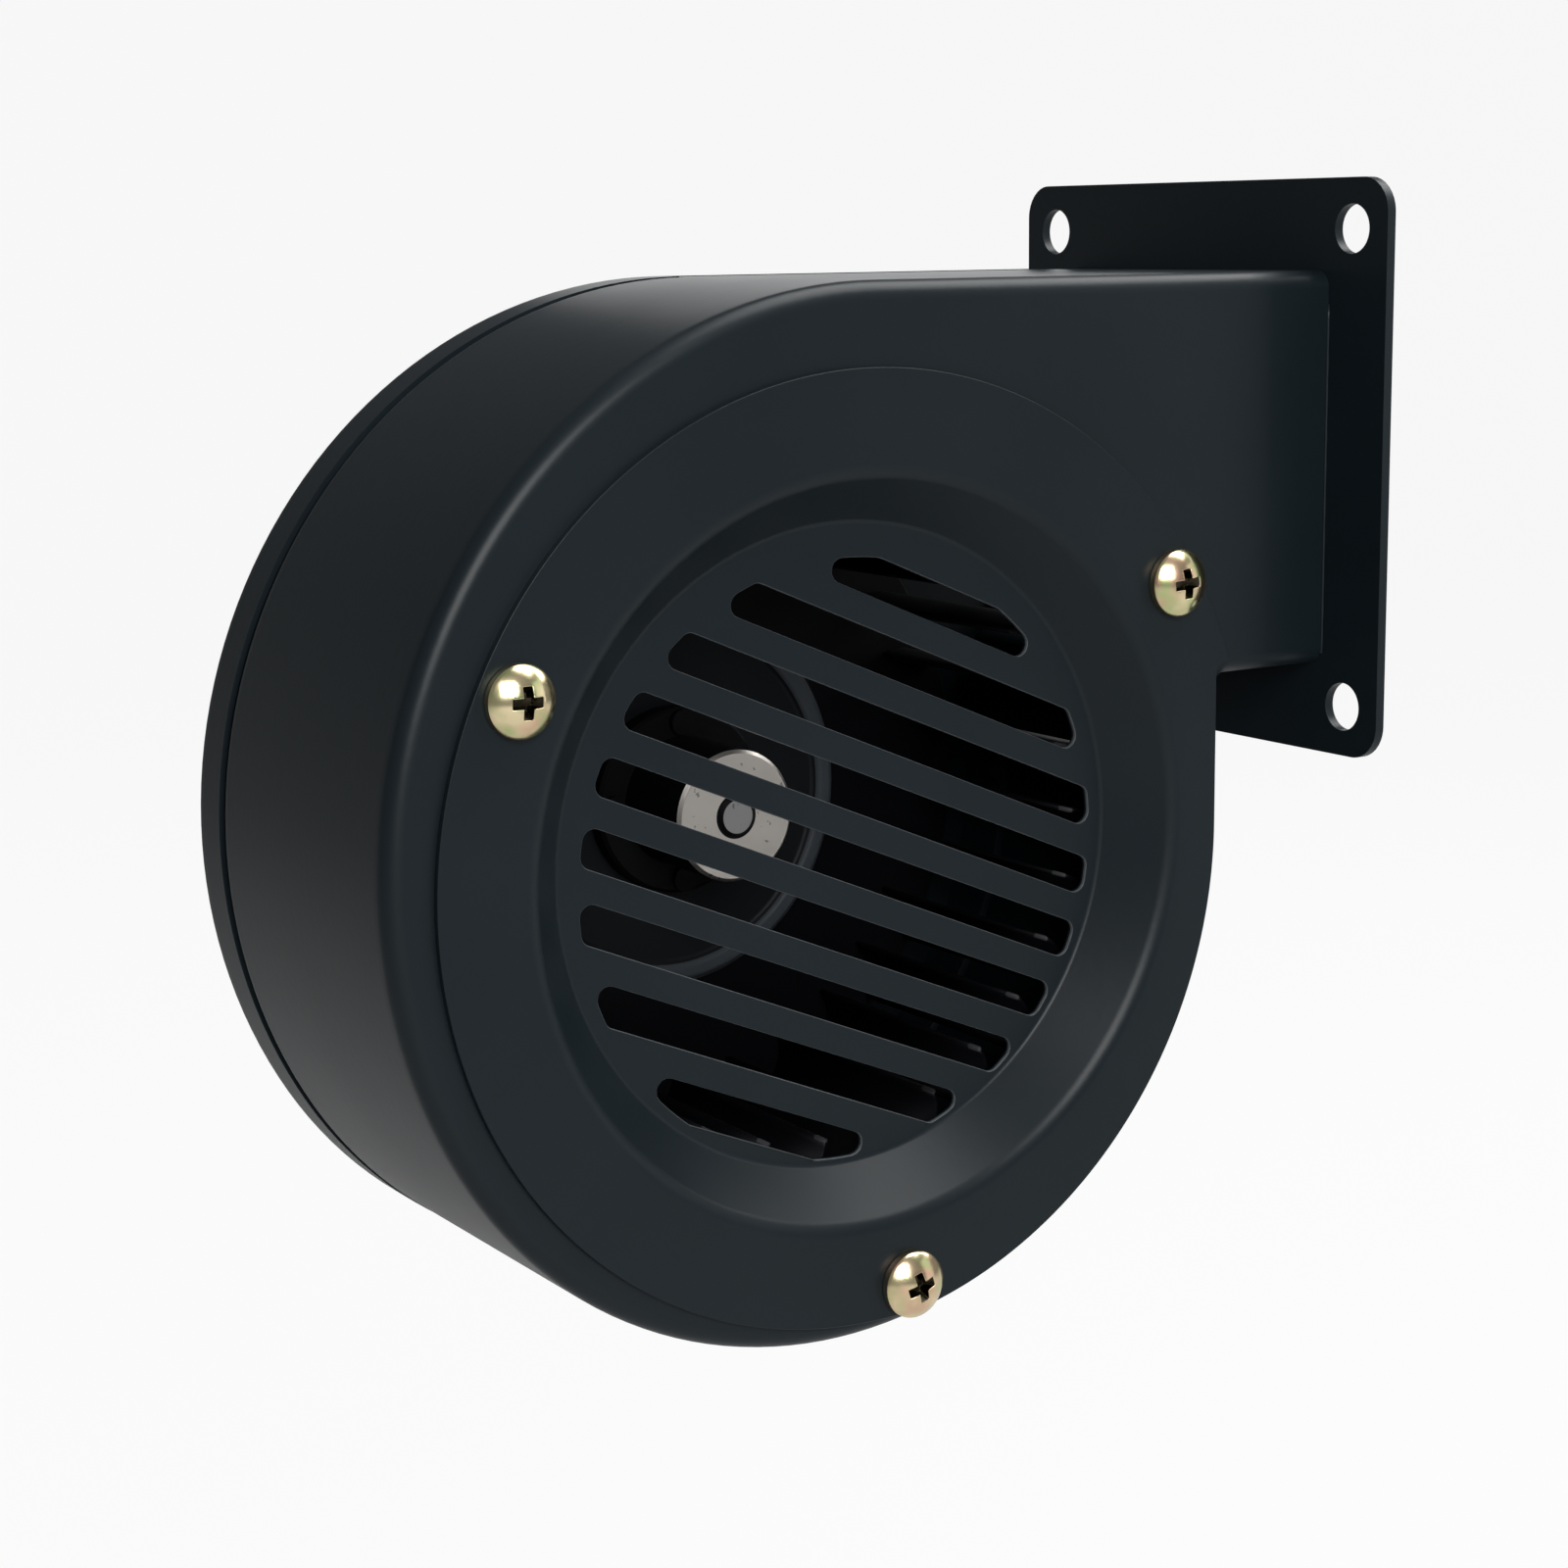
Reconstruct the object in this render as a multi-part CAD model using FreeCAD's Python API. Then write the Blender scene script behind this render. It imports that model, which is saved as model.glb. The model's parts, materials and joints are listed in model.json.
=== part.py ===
import FreeCAD
import Part
import math
import os

# Centrifugal air mover: a sheet-metal scroll casing with a slotted inlet cover in front,
# a square outlet flange, and a small induction motor behind the casing.
# Millimetres. Origin at the centre of the outlet flange's open face.
# +X points out of the outlet, +Y from the inlet cover towards the motor, +Z up.

# General clearances
FIT_GAP = 0.03            # radial, for shafts, bearings and screws in their holes
ROTOR_GAP = 0.3           # between turning and standing faces that nearly meet
HOLE_GAP = 0.25           # radial, for screws in plain holes

# Casing
CASING_DEPTH = 59.5       # front panel's outer face to the lid's back face
SHEET = 1.0               # casing and lid sheet
SCROLL_CLEARANCE = 14.3   # impeller to the scroll outline's first arc, if they had one centre
NEAR_OFFSET_X = -4.9      # centre of the outline's first arc from the rotor axis
NEAR_OFFSET_Z = -2.1
SCROLL_GROWTH = 8.5       # how much larger the second arc is
GROWTH_ANGLE = 32.0       # direction in which its centre moves, degrees above +X
DUCT_HEIGHT = 57.0        # outlet duct, outside
DUCT_NECK = 20.8          # from the scroll's side to the flange's open face
TONGUE_RADIUS = 2.0       # bend between the scroll and the duct's lower wall
CORNER_RADIUS = 2.5       # bend between the front panel and the walls
INLET_HOLE_GAP = 4.5      # hole in the front panel, round the impeller
COLLAR_DEPTH = 2.5        # drawn collars that the cover screws are tapped into
COLLAR_WALL = 1.2

# Lid on the back of the casing
LID_PROUD = 0.1           # skirt beyond the scroll wall
SKIRT_SHEET = 0.8
SKIRT_DEPTH = 7.3         # from the lid's back face to the skirt's free edge
SKIRT_GROOVE = 1.5        # open groove between the skirt's edge and the wall's step
WALL_STEP = 1.3           # how far the wall steps in behind the skirt
LID_EDGE_RADIUS = 0.6
LID_SCREW_INSET = 8.0     # lid screws from the casing's outline
LID_SCREW_RADIUS = 1.5
LID_SCREW_LENGTH = 5.0
LID_HEAD_RADIUS = 3.0
LID_HEAD_HEIGHT = 1.8
FAR_TAB_ANGLES = (112.0, 176.0)
NEAR_TAB_ANGLES = (236.0, 300.0)
DUCT_TAB_FROM_FLANGE = 12.0
TAB_WIDTH = 10.0
TAB_SHEET = 1.2
TAB_LEG = 6.0             # length of the leg against the casing's wall

# Outlet flange
FLANGE_SIZE = 83.0
FLANGE_SHEET = 1.5
FLANGE_CORNER = 5.0
FLANGE_HOLE_PITCH = 68.6
FLANGE_HOLE_RADIUS = 3.5

# Inlet cover
COVER_SHEET = 1.0
COVER_RIM = 4.7           # from the screws' circle to the disc's edge
COVER_EDGE_MARGIN = 1.5   # inside the casing's outline where the outline trims the disc
DISH_OVER_IMPELLER = 0.2  # dish's outer edge beyond the impeller
DISH_RUN = 6.8            # width of the dish's slope
DISH_DEPTH = 8.0
DISH_TOP_BEND = 3.0       # outside of the bend into the dish
DISH_FLOOR_BEND = 2.0     # outside of the bend round the dish's floor
SLOT_COUNT = 9
SLOT_WIDTH = 5.3
SLOT_LAND = 2.83          # from the dish's floor edge to the circle that the slots' ends follow
SLOT_TOP_LAND = 1.4       # from that circle to the outermost slots' long edges
SLOT_CORNER = 1.7
SLOT_TILT = -22.9         # degrees from level, falling towards the outlet side
SLOT_DROP = 2.1           # pattern's centre below the rotor axis
SLOT_SHIFT = 0.6          # pattern's centre from the rotor axis, towards the outlet
COVER_SCREW_LAND = 9.1    # from the dish's outer edge to the screws' circle
COVER_SCREW_COUNT = 3
COVER_SCREW_ANGLE = 34.0  # first screw, degrees above +X
COVER_SCREW_SHIFT = 1.0   # screws' circle from the rotor axis, towards the outlet
COVER_SCREW_DROP = 0.4    # screws' circle below the rotor axis
COVER_SCREW_RADIUS = 2.0
COVER_SCREW_LENGTH = 6.0
COVER_HEAD_RADIUS = 4.7
COVER_HEAD_HEIGHT = 3.2

# Screw heads
HEAD_RIM_SHARE = 0.18     # straight rim below the dome, as a share of the head's height
RECESS_REACH_SHARE = 0.46
RECESS_WIDTH_SHARE = 0.2
RECESS_DEPTH_SHARE = 0.6
SCREW_TIP_SHARE = 0.3    # bevel at the shank's end, as a share of its radius

# Impeller
IMPELLER_RADIUS = 51.0    # drives the cover, the scroll and the blades
BLADE_COUNT = 28
BLADE_SET_IN = 0.7        # blade tips inside the impeller's rim
BLADE_DEPTH = 8.0         # from the blades' inner edges to their tips
BLADE_SHEET = 0.6
BLADE_LEAN = 7.0          # tip ahead of root, degrees round the axis
BLADE_CAMBER = 1.6        # depth of the blade's curve
FRONT_RING_WIDTH = 4.0
FRONT_RING_SHEET = 1.0
DISC_SHEET = 1.0
INLET_TO_RING = 2.6       # from the cover's back face to the front ring
DISC_TO_LID = 4.2         # from the disc's back face to the lid
BEAD_RADIUS = 26.7        # middle of the stiffening bead pressed into the disc
BEAD_HALF_WIDTH = 1.8
BEAD_HEIGHT = 1.1
DISC_HOLE_GAP = 0.2

# Hub
HUB_RADIUS = 9.6
HUB_LENGTH = 18.5
HUB_FLANGE_RADIUS = 13.9
HUB_FLANGE_THICKNESS = 3.2
HUB_BEVEL = 0.5
RIVET_COUNT = 4
RIVET_RADIUS = 1.1
RIVET_HEAD_RADIUS = 1.9
RIVET_HEAD_HEIGHT = 0.9
SET_SCREW_RADIUS = 2.0
SET_SCREW_FROM_FRONT = 6.0
SET_SCREW_ANGLE = 62.0

# Shaft and rotor
SHAFT_RADIUS = 3.0
SHAFT_PROUD = 0.5         # beyond the hub's front face
SHAFT_BEVEL = 0.4
END_RING_SET_IN = 1.5     # from the rotor core's rim
END_RING_WIDTH = 6.3
END_RING_LENGTH = 3.0
VANE_COUNT = 8
VANE_LENGTH = 1.6
ROTOR_END_GAP = 0.5       # from the vanes' ends to the bearings' planes
VANE_THICKNESS = 1.2
SPACER_RADIUS = 4.4
CIRCLIP_SHEET = 0.7
CIRCLIP_RADIUS = 4.6
CIRCLIP_GROOVE = 0.35
CIRCLIP_OPENING = 3.0

# Bearings
BEARING_RADIUS = 9.5
BEARING_WIDTH = 6.0
RACE_INNER_RADIUS = 5.2
RACE_OUTER_RADIUS = 7.0
BALL_RADIUS = 1.45
BALL_GAP = 0.05
BALL_COUNT = 7
SEAL_THICKNESS = 0.5
WAVE_WASHER_HEIGHT = 0.8
WAVE_WASHER_INNER = 7.2

# Motor frame
MOTOR_RADIUS = 42.0
SHIELD_WALL = 2.5
SHIELD_BASE = 3.0
STACK_LENGTH = 17.0
SPIGOT_RADIUS = 14.0
BEARING_BOSS_RADIUS = 13.0
FRONT_BEARING_SHOULDER = 3.5   # from the lid to the front bearing
SHAFT_HOLE_RADIUS = 5.6
REAR_POCKET_FLOOR = 2.6
MOTOR_SCREW_INSET = 5.6   # from the motor's rim
MOTOR_SCREW_COUNT = 4
MOTOR_SCREW_RADIUS = 2.0
MOTOR_HEAD_RADIUS = 3.9
MOTOR_HEAD_HEIGHT = 2.4
MOTOR_BOSS_RADIUS = 3.6
MOUNT_SCREW_LENGTH = 8.0
TIE_SCREW_BITE = 8.0
VENT_COUNT = 8
VENT_WIDTH = 3.0
VENT_FROM_BOSS = 4.0
VENT_FROM_RIM = 11.0
SHIELD_EDGE_RADIUS = 1.2

# Stator
STATOR_SLOTS = 16
STATOR_SLOT_WIDTH = 5.0
STATOR_BACK_IRON = 9.8    # from the motor's rim to the winding slots
STATOR_SLOT_DEPTH = 7.6
STATOR_TOOTH_TIP = 2.3    # from the winding slots to the bore
STATOR_MOUTH = 2.2
COIL_GAP = 0.2
END_TURN_LENGTH = 7.0

# Cable grommet in the rear shield
GROMMET_BORE = 3.1
GROMMET_NECK = 4.0
GROMMET_FLANGE_RADIUS = 5.4
GROMMET_FLANGE = 1.4
GROMMET_GAP = 0.05
GROMMET_ANGLE = 270.0

# Sizes and places worked out from the values above
NEAR_RADIUS = IMPELLER_RADIUS + SCROLL_CLEARANCE
AXIS_X = -(NEAR_OFFSET_X + NEAR_RADIUS + DUCT_NECK)
INLET_HOLE_RADIUS = IMPELLER_RADIUS + INLET_HOLE_GAP
DISH_TOP_RADIUS = IMPELLER_RADIUS + DISH_OVER_IMPELLER
DISH_FLOOR_RADIUS = DISH_TOP_RADIUS - DISH_RUN
SLOT_REACH = DISH_FLOOR_RADIUS - SLOT_LAND
SLOT_PITCH = (2 * (SLOT_REACH - SLOT_TOP_LAND) - SLOT_WIDTH) / (SLOT_COUNT - 1)
COVER_SCREW_CIRCLE = DISH_TOP_RADIUS + COVER_SCREW_LAND
COVER_RADIUS = COVER_SCREW_CIRCLE + COVER_RIM
BLADE_OUTER_RADIUS = IMPELLER_RADIUS - BLADE_SET_IN
BLADE_INNER_RADIUS = BLADE_OUTER_RADIUS - BLADE_DEPTH
FRONT_RING_INNER = IMPELLER_RADIUS - FRONT_RING_WIDTH
STATOR_SLOT_OUTER = MOTOR_RADIUS - STATOR_BACK_IRON
STATOR_SLOT_INNER = STATOR_SLOT_OUTER - STATOR_SLOT_DEPTH
STATOR_BORE = STATOR_SLOT_INNER - STATOR_TOOTH_TIP
ROTOR_CORE_RADIUS = STATOR_BORE - ROTOR_GAP
END_RING_OUTER = ROTOR_CORE_RADIUS - END_RING_SET_IN
END_RING_INNER = END_RING_OUTER - END_RING_WIDTH
MOTOR_SCREW_CIRCLE = MOTOR_RADIUS - MOTOR_SCREW_INSET
VENT_INNER = BEARING_BOSS_RADIUS + VENT_FROM_BOSS
VENT_OUTER = MOTOR_RADIUS - VENT_FROM_RIM
FRONT_Y = -CASING_DEPTH / 2
BACK_Y = CASING_DEPTH / 2
LID_SEAT_Y = BACK_Y - SHEET
DUCT_END_X = -FLANGE_SHEET
NEAR_TOP = NEAR_OFFSET_Z + SCROLL_GROWTH * math.sin(math.radians(GROWTH_ANGLE))
FAR_RADIUS = NEAR_RADIUS + SCROLL_GROWTH
TOP_ABOVE_AXIS = NEAR_TOP + FAR_RADIUS
AXIS_Z = DUCT_HEIGHT / 2 - TOP_ABOVE_AXIS
NEAR_X = AXIS_X + NEAR_OFFSET_X
NEAR_Z = AXIS_Z + NEAR_OFFSET_Z
FAR_X = NEAR_X + SCROLL_GROWTH * math.cos(math.radians(GROWTH_ANGLE))
FAR_Z = AXIS_Z + NEAR_TOP
TONGUE_X = NEAR_X + NEAR_RADIUS
DUCT_TOP_Z = DUCT_HEIGHT / 2
DUCT_FLOOR_Z = -DUCT_HEIGHT / 2
SKIRT_EDGE_Y = BACK_Y - SKIRT_DEPTH
STEP_Y = SKIRT_EDGE_Y - SKIRT_GROOVE
COVER_FRONT_Y = FRONT_Y - COVER_SHEET
GRILLE_FRONT_Y = COVER_FRONT_Y + DISH_DEPTH
GRILLE_BACK_Y = GRILLE_FRONT_Y + COVER_SHEET
RING_FRONT_Y = GRILLE_BACK_Y + INLET_TO_RING
RING_BACK_Y = RING_FRONT_Y + FRONT_RING_SHEET
DISC_BACK_Y = LID_SEAT_Y - DISC_TO_LID
DISC_FRONT_Y = DISC_BACK_Y - DISC_SHEET
HUB_FRONT_Y = DISC_FRONT_Y - HUB_LENGTH
SHAFT_FRONT_Y = HUB_FRONT_Y - SHAFT_PROUD
HUB_FLANGE_FRONT_Y = DISC_FRONT_Y - HUB_FLANGE_THICKNESS
RIVET_CIRCLE = (HUB_RADIUS + HUB_FLANGE_RADIUS) / 2
FRONT_BEARING_Y = BACK_Y + FRONT_BEARING_SHOULDER
ROTOR_END_LENGTH = END_RING_LENGTH + VANE_LENGTH + ROTOR_END_GAP
STACK_FRONT_Y = FRONT_BEARING_Y + BEARING_WIDTH + ROTOR_END_LENGTH
STACK_BACK_Y = STACK_FRONT_Y + STACK_LENGTH
REAR_BEARING_Y = STACK_BACK_Y + ROTOR_END_LENGTH
SHAFT_BACK_Y = REAR_BEARING_Y + BEARING_WIDTH
REAR_POCKET_Y = SHAFT_BACK_Y + WAVE_WASHER_HEIGHT
MOTOR_BACK_Y = REAR_POCKET_Y + REAR_POCKET_FLOOR
BALL_CIRCLE = (RACE_INNER_RADIUS + RACE_OUTER_RADIUS) / 2
SHAFT_BORE = SHAFT_RADIUS + FIT_GAP
REACH = -4 * AXIS_X

TINY = 1e-4               # two places nearer than this are the same

ALONG_Y = FreeCAD.Vector(0, 1, 0)
ALONG_Z = FreeCAD.Vector(0, 0, 1)


def at_angle(radius, angle, centre_x=AXIS_X, centre_z=AXIS_Z):
    """Point on a circle seen from the front, as x and z; the angle is above +X."""
    turn = math.radians(angle)
    return centre_x + radius * math.cos(turn), centre_z + radius * math.sin(turn)


def round_the_axis(count, first=0.0):
    """Evenly spaced angles, in degrees."""
    return [first + 360.0 * step / count for step in range(count)]


def disc(radius, front, back, x=AXIS_X, z=AXIS_Z):
    """Cylinder along Y between two depths."""
    return Part.makeCylinder(radius, back - front, FreeCAD.Vector(x, front, z), ALONG_Y)


def tube(outer, inner, front, back, x=AXIS_X, z=AXIS_Z):
    """Ring along Y between two depths."""
    return disc(outer, front, back, x, z).cut(disc(inner, front, back, x, z))


def block(low, high):
    """Box between two corners."""
    size = [high[i] - low[i] for i in range(3)]
    return Part.makeBox(size[0], size[1], size[2], FreeCAD.Vector(*low))


def turned_to(shape, angle):
    """Shape turned round the rotor axis; a positive angle lifts +X towards +Z."""
    copy = shape.copy()
    copy.rotate(FreeCAD.Vector(AXIS_X, 0, AXIS_Z), ALONG_Y, -angle)
    return copy


def placed(shape, position, direction):
    """Shape made along +Z at the origin, moved to a place and pointed along a direction."""
    copy = shape.copy()
    copy.Placement = FreeCAD.Placement(position, FreeCAD.Rotation(ALONG_Z, direction))
    return copy


def fused(shapes):
    """One solid from shapes that meet."""
    return shapes[0].multiFuse(shapes[1:]).removeSplitter()


def spun(points):
    """Solid of revolution round the rotor axis from radius and depth pairs."""
    corners = [FreeCAD.Vector(AXIS_X + radius, depth, AXIS_Z) for radius, depth in points]
    face = Part.Face(Part.makePolygon(corners + corners[:1]))
    return face.revolve(FreeCAD.Vector(AXIS_X, 0, AXIS_Z), ALONG_Y, 360)


def save(name, shapes):
    """Writes one node; several solids go in as a group."""
    shape = shapes[0] if len(shapes) == 1 else Part.makeCompound(shapes)
    shape.exportStep("parts/" + name + ".step")


def outline_block(inset, front, back, end_x=DUCT_END_X):
    """Block inside the casing's outline moved inwards by an inset."""
    def point(x, z):
        return FreeCAD.Vector(x, front, z)

    def on_arc(x, z, radius, angle):
        return point(*at_angle(radius - inset, angle, x, z))

    meet = 180.0 + GROWTH_ANGLE
    tongue_x = TONGUE_X + TONGUE_RADIUS
    tongue_z = DUCT_FLOOR_Z - TONGUE_RADIUS
    bend = TONGUE_RADIUS + inset
    top_end = point(end_x, DUCT_TOP_Z - inset)
    top_start = on_arc(FAR_X, FAR_Z, FAR_RADIUS, 90)
    arcs_meet = on_arc(FAR_X, FAR_Z, FAR_RADIUS, meet)
    side_start = on_arc(NEAR_X, NEAR_Z, NEAR_RADIUS, 360)
    side_end = point(tongue_x - bend, tongue_z)
    floor_start = point(tongue_x, tongue_z + bend)
    floor_end = point(end_x, DUCT_FLOOR_Z + inset)
    bend_middle = point(*at_angle(bend, 135, tongue_x, tongue_z))
    edges = [
        Part.LineSegment(top_end, top_start),
        Part.Arc(top_start, on_arc(FAR_X, FAR_Z, FAR_RADIUS, (90 + meet) / 2), arcs_meet),
        Part.Arc(arcs_meet, on_arc(NEAR_X, NEAR_Z, NEAR_RADIUS, (meet + 360) / 2), side_start),
        Part.LineSegment(side_start, side_end),
        Part.Arc(side_end, bend_middle, floor_start),
        Part.LineSegment(floor_start, floor_end),
        Part.LineSegment(floor_end, top_end),
    ]
    wire = Part.Wire([edge.toShape() for edge in edges])
    return Part.Face(wire).extrude(FreeCAD.Vector(0, back - front, 0))


def edge_lies_at(edge, depth, end_x):
    """True for an edge in the plane of a depth that isn't the one across the duct's end."""
    box = edge.BoundBox
    flat = abs(box.YMin - depth) < TINY and abs(box.YMax - depth) < TINY
    across = abs(box.XMin - end_x) < TINY
    return flat and not across


def rounded_block(inset, front, back, end_x, radius, at_front):
    """Outline block with one face's edges rounded, but not at the duct's end."""
    solid = outline_block(inset, front, back, end_x)
    depth = front if at_front else back
    edges = [edge for edge in solid.Edges if edge_lies_at(edge, depth, end_x)]
    return solid.makeFillet(radius, edges)


def skirt_zone(grow):
    """Space round the scroll, up to where the straight duct walls begin."""
    left = block((-REACH, -REACH, -REACH), (FAR_X + grow, REACH, REACH))
    below = block((-REACH, -REACH, -REACH), (REACH, REACH, NEAR_Z + grow))
    return left.fuse(below)


def screw(head_radius, head_height, shank_radius, length):
    """Cross-recessed screw with a domed head above z = 0 and its shank below."""
    rim = HEAD_RIM_SHARE * head_height
    rise = head_height - rim
    sphere = (head_radius ** 2 + rise ** 2) / (2 * rise)
    half_turn = math.asin(head_radius / sphere) / 2
    middle_x = sphere * math.sin(half_turn)
    middle_z = head_height - sphere * (1 - math.cos(half_turn))
    tip = SCREW_TIP_SHARE * shank_radius
    corners = [
        (0, -length),
        (shank_radius - tip, -length),
        (shank_radius, -length + tip),
        (shank_radius, 0),
        (head_radius, 0),
        (head_radius, rim),
    ]
    points = [FreeCAD.Vector(x, 0, z) for x, z in corners]
    crown = FreeCAD.Vector(0, 0, head_height)
    dome = Part.Arc(points[-1], FreeCAD.Vector(middle_x, 0, middle_z), crown).toShape()
    sides = [Part.makeLine(points[i], points[i + 1]) for i in range(len(points) - 1)]
    axis_side = Part.makeLine(crown, points[0])
    face = Part.Face(Part.Wire(sides + [dome, axis_side]))
    body = face.revolve(FreeCAD.Vector(0, 0, 0), ALONG_Z, 360)
    reach = RECESS_REACH_SHARE * head_radius
    half_width = RECESS_WIDTH_SHARE * head_radius / 2
    depth = RECESS_DEPTH_SHARE * head_height
    floor = head_height - depth
    wing = block((-reach, -half_width, floor), (reach, half_width, 2 * head_height))
    cross = block((-half_width, -reach, floor), (half_width, reach, 2 * head_height))
    return body.cut(wing).cut(cross)


def cover_screw_places():
    """Middles of the cover screws, as x and z."""
    centre_x = AXIS_X + COVER_SCREW_SHIFT
    centre_z = AXIS_Z - COVER_SCREW_DROP
    angles = round_the_axis(COVER_SCREW_COUNT, COVER_SCREW_ANGLE)
    return [at_angle(COVER_SCREW_CIRCLE, angle, centre_x, centre_z) for angle in angles]


def lid_screw_places():
    """Lid screws as x, z, the outward angle, and how far in the wall's inner face lies."""
    stepped = WALL_STEP + SHEET
    places = []
    for angle in FAR_TAB_ANGLES:
        x, z = at_angle(FAR_RADIUS - LID_SCREW_INSET, angle, FAR_X, FAR_Z)
        places.append((x, z, angle, stepped))
    for angle in NEAR_TAB_ANGLES:
        x, z = at_angle(NEAR_RADIUS - LID_SCREW_INSET, angle, NEAR_X, NEAR_Z)
        places.append((x, z, angle, stepped))
    duct_x = DUCT_END_X - DUCT_TAB_FROM_FLANGE
    places.append((duct_x, DUCT_TOP_Z - LID_SCREW_INSET, 90.0, SHEET))
    places.append((duct_x, DUCT_FLOOR_Z + LID_SCREW_INSET, 270.0, SHEET))
    return places


def motor_screw_places(first):
    """Middles of one set of motor screws, as x and z."""
    return [at_angle(MOTOR_SCREW_CIRCLE, angle) for angle in round_the_axis(MOTOR_SCREW_COUNT, first)]


MOUNT_SCREW_FIRST = 0.0
TIE_SCREW_FIRST = 180.0 / MOTOR_SCREW_COUNT


def scroll_casing():
    """Front panel, scroll wall and duct walls as one drawn shell, open at the back and the outlet."""
    outer = rounded_block(0, FRONT_Y, LID_SEAT_Y, DUCT_END_X, CORNER_RADIUS, True)
    stepped_in = WALL_STEP + SHEET
    step = outline_block(0, STEP_Y - SHEET, LID_SEAT_Y).cut(
        outline_block(stepped_in, STEP_Y - SHEET, LID_SEAT_Y))
    step = step.common(skirt_zone(SHEET))
    hollow_end = DUCT_END_X + SHEET
    inner = rounded_block(SHEET, FRONT_Y + SHEET, BACK_Y, hollow_end, CORNER_RADIUS - SHEET, True)
    shell = outer.cut(inner).fuse(step)
    recess = outline_block(-SHEET, STEP_Y, BACK_Y).cut(outline_block(WALL_STEP, STEP_Y, BACK_Y))
    shell = shell.cut(recess.common(skirt_zone(0)))
    shell = shell.cut(disc(INLET_HOLE_RADIUS, FRONT_Y - SHEET, FRONT_Y + 2 * SHEET))
    hole_radius = COVER_SCREW_RADIUS + FIT_GAP
    for x, z in cover_screw_places():
        shell = shell.fuse(disc(hole_radius + COLLAR_WALL, FRONT_Y, FRONT_Y + SHEET + COLLAR_DEPTH, x, z))
    for x, z in cover_screw_places():
        shell = shell.cut(disc(hole_radius, FRONT_Y - SHEET, BACK_Y, x, z))
    return shell.removeSplitter()


def back_lid():
    """Flat lid with a skirt round the scroll."""
    plate = rounded_block(-LID_PROUD, SKIRT_EDGE_Y, BACK_Y, DUCT_END_X, LID_EDGE_RADIUS, False)
    inside = outline_block(SKIRT_SHEET - LID_PROUD, SKIRT_EDGE_Y, LID_SEAT_Y, DUCT_END_X + SHEET)
    pan = plate.cut(inside)
    sheet_only = block((-REACH, LID_SEAT_Y, -REACH), (REACH, BACK_Y, REACH))
    lid = pan.common(skirt_zone(0)).fuse(plate.common(sheet_only))
    lid = lid.cut(disc(SPIGOT_RADIUS + FIT_GAP, STEP_Y, BACK_Y + SHEET))
    for x, z in motor_screw_places(MOUNT_SCREW_FIRST):
        lid = lid.cut(disc(MOTOR_SCREW_RADIUS + HOLE_GAP, STEP_Y, BACK_Y + SHEET, x, z))
    for x, z, angle, wall_inset in lid_screw_places():
        lid = lid.cut(disc(LID_SCREW_RADIUS + HOLE_GAP, STEP_Y, BACK_Y + SHEET, x, z))
    return lid.removeSplitter()


def lid_tabs():
    """Angle tabs welded inside the casing's wall, tapped for the lid screws."""
    tabs = []
    front = LID_SEAT_Y - TAB_LEG
    for x, z, angle, wall_inset in lid_screw_places():
        outside = outline_block(wall_inset, front, LID_SEAT_Y)
        inside = outline_block(wall_inset + TAB_SHEET, front, LID_SEAT_Y - TAB_SHEET)
        reach_out = LID_SCREW_INSET
        strip = block((-TAB_WIDTH / 2, front, -TAB_WIDTH / 2), (reach_out, LID_SEAT_Y, TAB_WIDTH / 2))
        strip.rotate(FreeCAD.Vector(0, 0, 0), ALONG_Y, -angle)
        strip.translate(FreeCAD.Vector(x, 0, z))
        hole = disc(LID_SCREW_RADIUS + FIT_GAP, front, LID_SEAT_Y, x, z)
        tabs.append(outside.cut(inside).common(strip).cut(hole))
    return tabs


def lid_screws():
    """Small screws from behind, through the lid into the tabs."""
    one = screw(LID_HEAD_RADIUS, LID_HEAD_HEIGHT, LID_SCREW_RADIUS, LID_SCREW_LENGTH)
    return [placed(one, FreeCAD.Vector(x, BACK_Y, z), ALONG_Y) for x, z, angle, inset in lid_screw_places()]


def outlet_flange():
    """Square plate on the duct's end, with a window and four bolt holes."""
    half = FLANGE_SIZE / 2
    plate = block((DUCT_END_X, -half, -half), (0, half, half))
    corners = [edge for edge in plate.Edges if edge.BoundBox.XLength > FLANGE_SHEET / 2]
    plate = plate.makeFillet(FLANGE_CORNER, corners)
    window = block((DUCT_END_X, FRONT_Y + SHEET, DUCT_FLOOR_Z + SHEET), (0, LID_SEAT_Y, DUCT_TOP_Z - SHEET))
    plate = plate.cut(window)
    for side_y in (-1, 1):
        for side_z in (-1, 1):
            y = side_y * FLANGE_HOLE_PITCH / 2
            z = side_z * FLANGE_HOLE_PITCH / 2
            middle = FreeCAD.Vector(DUCT_END_X, y, z)
            hole = Part.makeCylinder(FLANGE_HOLE_RADIUS, FLANGE_SHEET, middle, FreeCAD.Vector(1, 0, 0))
            plate = plate.cut(hole)
    return plate


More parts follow.
